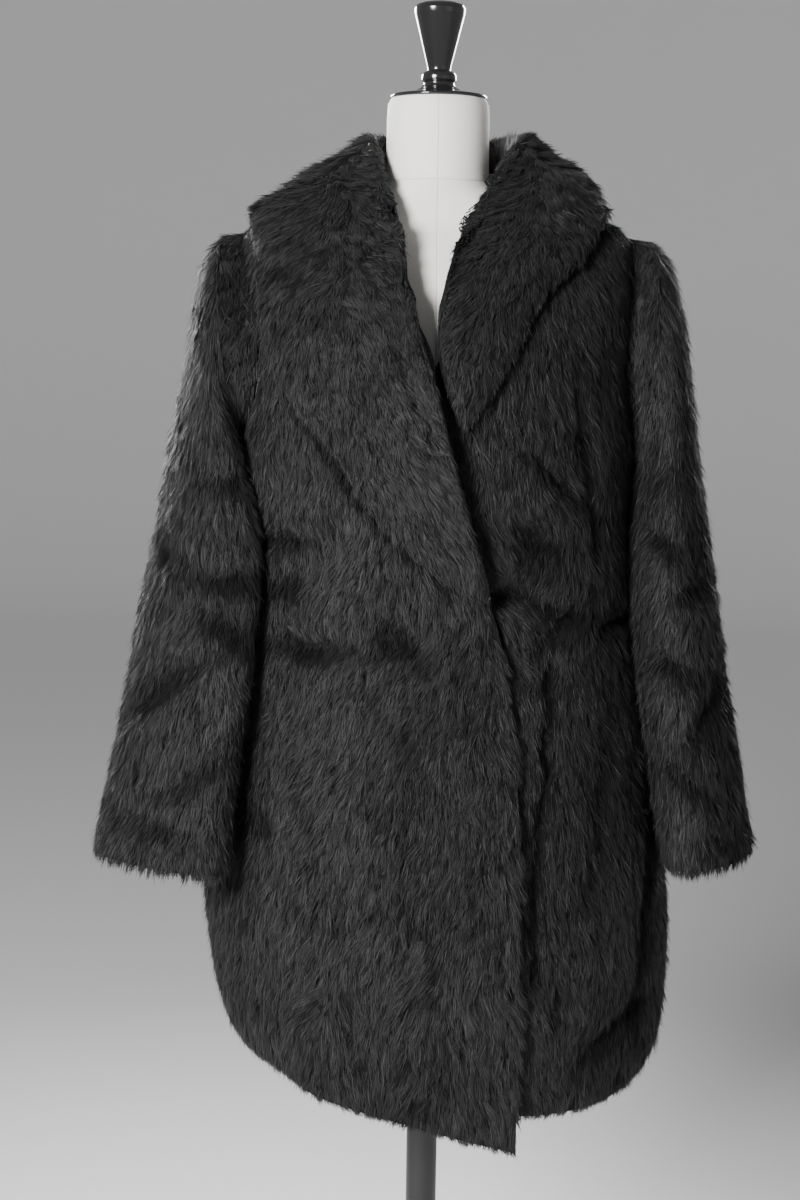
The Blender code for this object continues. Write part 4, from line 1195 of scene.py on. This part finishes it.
def underpile_material(name, settings):
    """The dense pile that shows between the blades: darker than the blades, as painted shade deep
    in the pile, with streaks down the coat.
    """
    colour = np.array(settings.pile_colour[:3])
    material, tree, shader = new_material(name, colour * 0.5, 0.8)
    stretch = {"Vector": objects_place(tree), "Scale": (1.0, 1.0, 0.12)}
    streaks = {"Vector": add(tree, "Mapping", "Vector", stretch), "Scale": 520, "Detail": 2}
    streaks = add(tree, "TexNoise", "Fac", streaks)
    # From a fifth to four fifths of the pile's colour: painted shade deep in the pile, in streaks
    tones = ramp(tree, streaks, [(0.3, colour * 0.2), (0.7, colour * 0.8)])
    feed(tree, shader, {"Base Color": tones, "Specular IOR Level": 0.05})
    bump_from(tree, shader, streaks, 0.8, 0.0015)
    return material


def backing_material(name):
    material, tree, shader = new_material(name, (0.010, 0.010, 0.011), 0.9)
    knit = {"Vector": objects_place(tree), "Scale": 90, "Distortion": 1.2, "Detail": 1}
    waves = (add(tree, "TexWave", "Fac", knit, bands_direction=way) for way in "ZX")
    loops = maths(tree, "MULTIPLY", *waves)
    tones = ramp(tree, loops, [(0.0, (0.006, 0.006, 0.0065)), (1.0, (0.024, 0.024, 0.026))])
    feed(tree, shader, {"Base Color": tones, "Specular IOR Level": 0.1})
    bump_from(tree, shader, loops, 0.5, 0.0006)
    return material


def jersey_material(name, settings):
    """Off-white jersey with a fine knit, and the seams of the form's cover."""
    colour = np.array(settings.jersey_colour[:3])
    material, tree, shader = new_material(name, colour, 0.8)
    place = objects_place(tree)
    knit = {"Vector": place, "Scale": 260, "Distortion": 2.5, "Detail Scale": 3}
    knit = add(tree, "TexWave", "Fac", knit, bands_direction="Z")

    def seam(axis, at, width):
        along = add(tree, "SeparateXYZ", axis, {"Vector": place})
        away = maths(tree, "ABSOLUTE", maths(tree, "SUBTRACT", along, at))
        near = {"Value": away, "From Max": width}
        return add(tree, "MapRange", "Result", near, interpolation_type="SMOOTHSTEP")

    seams = maths(tree, "MINIMUM", seam("X", 0.0, 0.0009), seam("Z", 1.3435, 0.0011))
    soft = add(tree, "MapRange", "Result", {"Value": seams, "To Min": 0.84})
    shade = maths(tree, "MULTIPLY", add_uneven(tree, 9.0, 900.0, 0.93, 1.0)["Value"], soft)
    tones = ramp(tree, shade, [(0.0, (0, 0, 0)), (1.0, colour)])
    feed(tree, shader, {"Base Color": tones, "Sheen Weight": 0.1})
    bump_from(tree, shader, maths(tree, "MULTIPLY_ADD", knit, 0.18, seams), 0.6, 0.0006)
    return material


def lacquer_material(name):
    material, tree, shader = new_material(name, (0.010, 0.010, 0.0105), 0.16)
    uneven_looks = add_uneven(tree, 14.0, 260.0, 0.12, 0.22)
    looks = {"Roughness": uneven_looks["Value"], "Coat Weight": 0.6, "Coat Roughness": 0.06}
    feed(tree, shader, looks)
    bump_from(tree, shader, uneven_looks["Height"], 0.04, 0.0004)
    return material


def steel_material(name):
    material, tree, shader = new_material(name, (0.014, 0.014, 0.0145), 0.4, 0.3)
    uneven_looks = add_uneven(tree, 10.0, 700.0, 0.32, 0.48)
    feed(tree, shader, {"Roughness": uneven_looks["Value"]})
    bump_from(tree, shader, uneven_looks["Height"], 0.12, 0.0004)
    return material


MATERIAL_MAKERS = {
    "charcoal_pile": lambda name, s: pile_material(name, s.fur_coat_pile),
    "charcoal_underpile": lambda name, s: underpile_material(name, s.fur_coat_pile),
    "knit_backing": lambda name, s: backing_material(name),
    "form_jersey": lambda name, s: jersey_material(name, s.fur_coat_form),
    "cap_lacquer": lambda name, s: lacquer_material(name),
    "stand_steel": lambda name, s: steel_material(name),
    "studio_paper": lambda name, s: new_material(name, s.fur_coat_studio.floor_colour, 0.85)[0],
}


def material_of(scene, name):
    return bpy.data.materials.get(name) or MATERIAL_MAKERS[name](name, scene)


# ---------------------------------------------------------------- settings


def a_number(name, description, default, low, high, **kind):
    return bpy.props.FloatProperty(
        name=name, description=description, default=default, min=low, max=high, **kind
    )


def a_length(name, description, default, low, high):
    return a_number(name, description, default, low, high, unit="LENGTH")


def a_share(name, description, default, high=1.0):
    return a_number(name, description, default, 0.0, high, subtype="FACTOR")


def a_power(name, description, default):
    return a_number(name, description, default, 0.0, 1000.0, unit="POWER")


def a_colour(name, description, default):
    return bpy.props.FloatVectorProperty(
        name=name, description=description, default=default, min=0, max=1, size=3, subtype="COLOR"
    )


class FurCoatPile(bpy.types.PropertyGroup):
    length: a_length("Length", "How long the coat's pile is", 0.018, 0.005, 0.05)
    blade_width: a_length("Blade Width", "How wide one blade of pile is", 0.0012, 0.0003, 0.004)
    density: a_number("Density", "Blades on each square centimetre", 54.0, 1.0, 120.0)
    lock_width: a_length("Lock Width", "How wide a lock of blades is", 0.0050, 0.001, 0.03)
    gathering: a_share("Gathering", "How far the tips of a lock draw together", 0.55)
    strays: a_share("Strays", "The share of blades that stand out from their lock", 0.10)
    fuzz: a_length("Fuzz", "How far strays stand out", 0.005, 0.0, 0.01)
    tufts: a_length("Tufts", "How far the most upright locks stand out", 0.0032, 0.0, 0.01)
    mottle: a_share("Mottle", "How much the blades' greys differ", 0.24, 0.5)
    tilt: a_number("Tilt", "How much blades turn about their length, in degrees", 21.0, 0.0, 90.0)
    creases: a_number("Creases", "How deep the creases and folds are", 1.0, 0.0, 1.5)
    pile_colour: a_colour("Colour", "Colour of the pile", (0.0132, 0.0132, 0.0137))


class FurCoatForm(bpy.types.PropertyGroup):
    jersey_colour: a_colour("Jersey", "Colour of the form's jersey", (0.78, 0.76, 0.72))


class FurCoatStudio(bpy.types.PropertyGroup):
    floor_colour: a_colour("Paper", "Colour of the floor and backdrop", (0.90, 0.90, 0.90))
    key_power: a_power("Key Light", "Power of the large light at the left", 155.0)
    fill_power: a_power("Fill Light", "Power of the light at the right", 3.0)
    back_power: a_power("Back Light", "Power of the lights behind the coat", 24.0)
    surroundings: a_number("Surroundings", "How bright the room is", 0.23, 0.0, 3.0)


# ---------------------------------------------------------------- pieces


SKINS = {}


def coat_skins(scene):
    """Every piece's surfaces, made once: some pieces hide what lies under them."""
    if not SKINS:
        amount = scene.fur_coat_pile.creases
        SKINS.update(body_skins(amount))
        SKINS["sleeve_right"] = sleeve_skin(-1, SLEEVE_RIGHT, amount)
        SKINS["sleeve_left"] = sleeve_skin(1, SLEEVE_LEFT, amount)
        SKINS.update(collar_skin("collar_right", -1, 150))
        SKINS.update(collar_skin("collar_left", 1, 110))
    return SKINS


def not_covered(skin, covers, margin, reach):
    """Which points of a skin aren't under another piece, further in than margin from its edge."""
    points = np.concatenate([c.points[c.edge > margin] for c in covers])[::3]
    tree = KDTree(len(points))
    for k, point in enumerate(points):
        tree.insert(point, k)
    tree.balance()
    far = [[tree.find(p)[2] > reach for p in line] for line in skin.points[::2, ::2]]
    far = np.repeat(np.repeat(np.array(far), 2, axis=0), 2, axis=1)
    return far[: skin.points.shape[0], : skin.points.shape[1]]


def cloth(scene, name, skin, furs, sides=BODY_SIDES, insets=None):
    """The backing of a piece with its dense underpile. It carries the pile and stands for it."""
    outer, inner = skin.between(insets or {}, *sides)
    points, faces = wall(outer, inner, skin.tube)
    underpile, knit = (material_of(scene, n) for n in ("charcoal_underpile", "knit_backing"))
    made = solid_object(name + "_backing", points, faces, underpile, scene.collection)
    made.data.materials.append(knit)
    outside = (outer.shape[0] - 1) * (outer.shape[1] - (0 if skin.tube else 1))
    inside = np.arange(len(made.data.polygons)) >= outside
    made.data.polygons.foreach_set("material_index", inside.astype(np.int32))
    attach(made, "root")
    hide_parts(name)
    for fur in furs:
        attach(fur, "root")


def fur_objects(scene, name, points, uv, pieces=1):
    """The pile of one piece, split into meshes of about as many blades each."""
    made = []
    material = material_of(scene, "charcoal_pile")
    order = np.argsort(points[:, 0, 2], kind="stable")
    for k, part in enumerate(np.array_split(order, pieces)):
        label = f"{name}_pile" if pieces == 1 else f"{name}_pile_{k + 1}"
        made.append(blade_object(label, points[part], uv[part], material, scene.collection))
    return made


def panel(scene, name, seed, covers, margins, overhang, pieces):
    """One panel of the body. Its roots keep off its own edge and off what covers it."""
    settings, skins = scene.fur_coat_pile, coat_skins(scene)
    skin = skins[name]
    from_edge, margin, reach = margins
    keep = not_covered(skin, [skins[cover] for cover in covers], margin, reach)
    keep &= skin.edge > from_edge
    blades = grow(skin, body_comb, settings.length, settings, seed, keep, 1.0, overhang)
    furs = fur_objects(scene, name, *blades, pieces)
    cloth(scene, name, skin, furs)


class FURCOAT_OT_back(bpy.types.Operator):
    """Makes the coat's back: one panel from the neck to the hem"""

    bl_idname = "fur_coat.back"
    bl_label = "Back"

    def execute(self, context):
        margins, overhang = (0.006, 0.046, 0.034), {"foot": 0.0040}
        panel(context.scene, "back", 101, COLLARS, margins, overhang, 2)
        return {"FINISHED"}


class FURCOAT_OT_fronts(bpy.types.Operator):
    """Makes both fronts. The right one laps over the left one"""

    bl_idname = "fur_coat.fronts"
    bl_label = "Fronts"

    def execute(self, context):
        margins, overhang = (0.005, 0.030, 0.034), {"last": 0.0036, "foot": 0.0040}
        panel(context.scene, "front_right", 102, COLLARS, margins, overhang, 2)
        covers = COLLARS + ("front_right",)
        margins, overhang = (0.006, 0.030, 0.030), {"foot": 0.0040}
        panel(context.scene, "front_left", 103, covers, margins, overhang, 1)
        return {"FINISHED"}


class FURCOAT_OT_sleeves(bpy.types.Operator):
    """Makes both sleeves, from the armholes to the open cuffs"""

    bl_idname = "fur_coat.sleeves"
    bl_label = "Sleeves"

    def execute(self, context):
        scene = context.scene
        settings, skins = scene.fur_coat_pile, coat_skins(scene)
        for name, seed in (("sleeve_right", 104), ("sleeve_left", 105)):
            skin, overhang = skins[name], {"foot": 0.0045}
            keep = skin.edge > 0.006
            blades = grow(skin, sleeve_comb, settings.length, settings, seed, keep, 1.0, overhang)
            furs = fur_objects(scene, name, *blades)
            cloth(scene, name, skin, furs)
        return {"FINISHED"}


class FURCOAT_OT_collar(bpy.types.Operator):
    """Makes both halves of the shawl collar"""

    bl_idname = "fur_coat.collar"
    bl_label = "Collar"

    def execute(self, context):
        scene = context.scene
        settings, skins = scene.fur_coat_pile, coat_skins(scene)
        long = settings.length
        for name, side, seed, flat, area in (
            ("collar_right", -1, 106, (0.24, 0.62), 0.090),
            ("collar_left", 1, 107, (0.22, 0.45), 0.060),
        ):
            skin, under, core = (skins[name + layer] for layer in ("", "_under", "_core"))
            comb = collar_comb(side)
            z = skin.points[..., 2]
            into_lapel = (z > LAPEL_FROM) & (z < LAPEL_TO)
            keep = (skin.edges["foot"] > 0.003) & (skin.edges["last"] > 0.003)
            keep &= skin.edges["top"] > np.where(into_lapel, 0.0065, 0.0003)
            overhang = {"foot": 0.0060, "last": 0.0110, "top": 0.0028}
            over = grow(skin, comb, long * 0.9, settings, seed, keep, 1.2, overhang, turned=0.6)
            hem = (under.edge > 0.003) & (under.edges["foot"] < 0.034)
            below = grow(under, comb, long * 0.6, settings, seed + 10, hem, 0.5)
            furs = fur_objects(scene, name, *(np.concatenate(pair) for pair in zip(over, below)))
            sides = (UNDERPILE - COLLAR_WALL / 2, COLLAR_WALL / 2 - SHELL_INSET)
            insets = {"top": SHELL_INSET, "foot": 0.012, "last": 0.012}
            cloth(scene, name, core, furs, sides, insets)
        return {"FINISHED"}


def ring_stack(name, rings, material, collection):
    """A closed solid through rings of as many points each. A ring of radius 0 closes it."""
    index = np.arange(rings.shape[0] * rings.shape[1]).reshape(rings.shape[:2])
    faces = quads(closed_up(index))
    made = solid_object(name, rings.reshape(-1, 3), faces, material, collection)
    work = bmesh.new()
    work.from_mesh(made.data)
    bmesh.ops.remove_doubles(work, verts=work.verts, dist=1e-6)
    bmesh.ops.dissolve_degenerate(work, edges=work.edges, dist=1e-7)
    finish_mesh(work, made.data, 35)
    return made


def lathe(name, profile, steps, material, collection):
    """A profile of (radius, height) points turned round the Z axis."""
    angles = np.linspace(0, 2 * math.pi, steps, endpoint=False)
    radius, height = np.array(profile).T[..., None]
    rings = [radius * np.cos(angles), radius * np.sin(angles), height + 0 * angles]
    return ring_stack(name, np.stack(rings, axis=-1), material, collection)


def rounded(profile, corner, steps=4):
    """The profile with each of its corners rounded off by about corner."""
    points = np.array(profile, float)
    out = [points[0]]
    for before, here, after in zip(points, points[1:], points[2:]):
        to_before, to_after = before - here, after - here
        near = min(corner, 0.45 * norm(to_before), 0.45 * norm(to_after))
        a, b = here + near * unit(to_before), here + near * unit(to_after)
        for t in np.linspace(0, 1, steps + 1):
            out.append((1 - t) ** 2 * a + 2 * t * (1 - t) * here + t * t * b)
    return out + [points[-1]]


def form_rings():
    """Fine rings of the torso and its neck. The shoulders follow the coat's from inside."""
    angles = np.linspace(-math.pi, math.pi, 96, endpoint=False)
    around = np.stack([np.cos(angles), np.sin(angles), 0 * angles], axis=-1)
    underside = oval(FORM, FORM.key[0], angles) * [0.86, 0.86, 1]
    underside[:, 2] = FORM_BOTTOM
    rings = [around * 0 + [0, 0, FORM_BOTTOM], underside]
    heights = np.linspace(FORM.key[0], FORM_CHEST_TOP, 58)
    rings += [oval(FORM, height, angles) for height in heights]
    for height in np.linspace(FORM_CHEST_TOP + 0.010, FORM_SHOULDER, 9):
        chest = oval(FORM, min(height, FORM.key[-1]), angles)
        chest[:, 2] = height
        towards_coat = trunk_point(height, angles, -FORM_CLEAR) - chest
        rings.append(chest + ease((height - FORM_CHEST_TOP) / 0.076) * towards_coat)
    for share in np.linspace(0, 1, 11)[1:]:
        height = FORM_SHOULDER + FORM_NECK_RISE * share
        shoulder = trunk_point(min(height, 1.3455), angles, -(FORM_CLEAR + 0.004 * share))
        to_neck = around * FORM_NECK_FOOT + [0, 0, height] - shoulder
        rings.append(shoulder + to_neck * share**1.6)
    neck = [(0.0508, 1.356), (NECK_RADIUS, 1.380), (NECK_RADIUS, 1.405)]
    neck += [(NECK_RADIUS - 0.0008, NECK_TOP - 0.0055), (NECK_RADIUS - 0.0040, NECK_TOP)]
    rings += [around * radius + [0, 0, height] for radius, height in neck + [(0, NECK_TOP)]]
    return np.array(rings)


class FURCOAT_OT_form(bpy.types.Operator):
    """Makes the dress form, its turned cap and its stand"""

    bl_idname = "fur_coat.form"
    bl_label = "Dress Form and Stand"

    def execute(self, context):
        scene = context.scene
        top, foot = FORM_BOTTOM - SEAM_GAP, HUB_TOP + SEAM_GAP
        pole = [(0, top), (POLE_RADIUS, top), (POLE_RADIUS, foot), (0, foot)]
        jersey = material_of(scene, "form_jersey")
        torso = ring_stack("form_torso", form_rings(), jersey, scene.collection)
        pieces = [(torso, "form_body", "jersey")]
        for name, profile, corner, steps, material, node, slot in (
            ("form_cap", CAP_PROFILE, 0.0012, 96, "cap_lacquer", "neck_cap", "lacquer"),
            ("stand_pole", pole, 0.0006, 48, "stand_steel", "pole", "painted_steel"),
            ("stand_base", BASE_PROFILE, 0.0020, 128, "stand_steel", "base", "painted_steel"),
        ):
            material = material_of(scene, material)
            made = lathe(name, rounded(profile, corner), steps, material, scene.collection)
            pieces.append((made, node, slot))
        for made, node, slot in pieces:
            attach(made, "root")
            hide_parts(node)
        return {"FINISHED"}


class FURCOAT_OT_studio(bpy.types.Operator):
    """Makes the floor, the backdrop, the lights and the camera"""

    bl_idname = "fur_coat.studio"
    bl_label = "Studio"

    def execute(self, context):
        scene = context.scene
        settings = scene.fur_coat_studio
        floor, bend, height = 6.4, 1.6, 3.6
        profile = [(radius, 0.0) for radius in (0.0, 1.0, 2.5, 4.5, floor)]
        for a in np.linspace(0.1, math.pi / 2, 16):
            profile.append((floor + bend * math.sin(a), bend - bend * math.cos(a)))
        profile.append((floor + bend, height))
        around = np.linspace(0, 2 * math.pi, 97)
        grid = [[(r * math.cos(a), r * math.sin(a), z) for a in around] for r, z in profile]
        index = np.arange(len(profile) * len(around)).reshape(len(profile), -1)
        points, paper = np.array(grid).reshape(-1, 3), material_of(scene, "studio_paper")
        sweep = solid_object("studio_sweep", points, quads(index), paper, scene.collection)
        back = settings.back_power
        for name, place, size, power, spread in (
            ("key_light", (-1.25, -2.00, 1.75), 0.8, settings.key_power, 180),
            ("fill_light", (2.4, -2.6, 1.5), 2.0, settings.fill_power, 180),
            ("back_light_right", (-1.5, 2.6, 1.9), 1.4, back, 50),
            ("back_light_left", (1.2, 2.8, 1.9), 1.4, back * 0.7, 50),
        ):
            light = bpy.data.lights.new(name, "AREA")
            light.spread = math.radians(spread)
            light.shape, light.size, light.energy = "DISK", size, power
            made = placed(name, light, scene.collection)
            made.visible_camera = False
            turn = (LIGHTS_AIM - Vector(place)).to_track_quat("-Z", "Y").to_matrix().to_4x4()
            made.matrix_world = Matrix.Translation(place) @ turn
        world = bpy.data.worlds.new("studio_air")
        world.use_nodes = True
        sky = world.node_tree.nodes["Background"]
        feed(world.node_tree, sky, {"Color": (1, 1, 1, 1), "Strength": settings.surroundings})
        scene.world = world

        camera = placed("camera", bpy.data.cameras.new("camera"), scene.collection)
        camera.data.sensor_fit = "VERTICAL"
        camera.data.sensor_height = 36.0
        camera.data.lens = 62.4
        camera.data.clip_end = 50
        tip = Matrix.Rotation(math.radians(90 - 7.4), 4, "X")
        lean = Matrix.Rotation(math.radians(0.83), 4, "Z")
        camera.matrix_world = Matrix.Translation((-0.0308, -2.09, 1.199)) @ tip @ lean
        scene.camera = camera
        return {"FINISHED"}


class FURCOAT_PT_panel(bpy.types.Panel):
    bl_idname = "FURCOAT_PT_panel"
    bl_label = "Faux Fur Coat"
    bl_space_type = "VIEW_3D"
    bl_region_type = "UI"
    bl_category = "Fur Coat"

    def draw(self, context):
        for label, group in (
            ("Pile", context.scene.fur_coat_pile),
            ("Form", context.scene.fur_coat_form),
            ("Studio", context.scene.fur_coat_studio),
        ):
            box = self.layout.box()
            box.label(text=label)
            for name in group.__annotations__:
                box.prop(group, name)
        for operator in OPERATORS:
            self.layout.operator(operator.bl_idname)


SETTINGS = {
    "fur_coat_pile": FurCoatPile,
    "fur_coat_form": FurCoatForm,
    "fur_coat_studio": FurCoatStudio,
}
OPERATORS = (
    FURCOAT_OT_studio,
    FURCOAT_OT_form,
    FURCOAT_OT_back,
    FURCOAT_OT_fronts,
    FURCOAT_OT_sleeves,
    FURCOAT_OT_collar,
)


def register():
    for name, group in SETTINGS.items():
        bpy.utils.register_class(group)
        setattr(bpy.types.Scene, name, bpy.props.PointerProperty(type=group))
    for operator in OPERATORS:
        bpy.utils.register_class(operator)
    bpy.utils.register_class(FURCOAT_PT_panel)


def unregister():
    bpy.utils.unregister_class(FURCOAT_PT_panel)
    for operator in reversed(OPERATORS):
        bpy.utils.unregister_class(operator)
    for name, group in SETTINGS.items():
        delattr(bpy.types.Scene, name)
        bpy.utils.unregister_class(group)


def main():
    register()
    bpy.ops.fur_coat.studio()
    bpy.ops.fur_coat.form()
    bpy.ops.fur_coat.back()
    bpy.ops.fur_coat.fronts()
    bpy.ops.fur_coat.sleeves()
    bpy.ops.fur_coat.collar()
    bpy.context.view_layer.update()


if __name__ == "__main__":
    main()
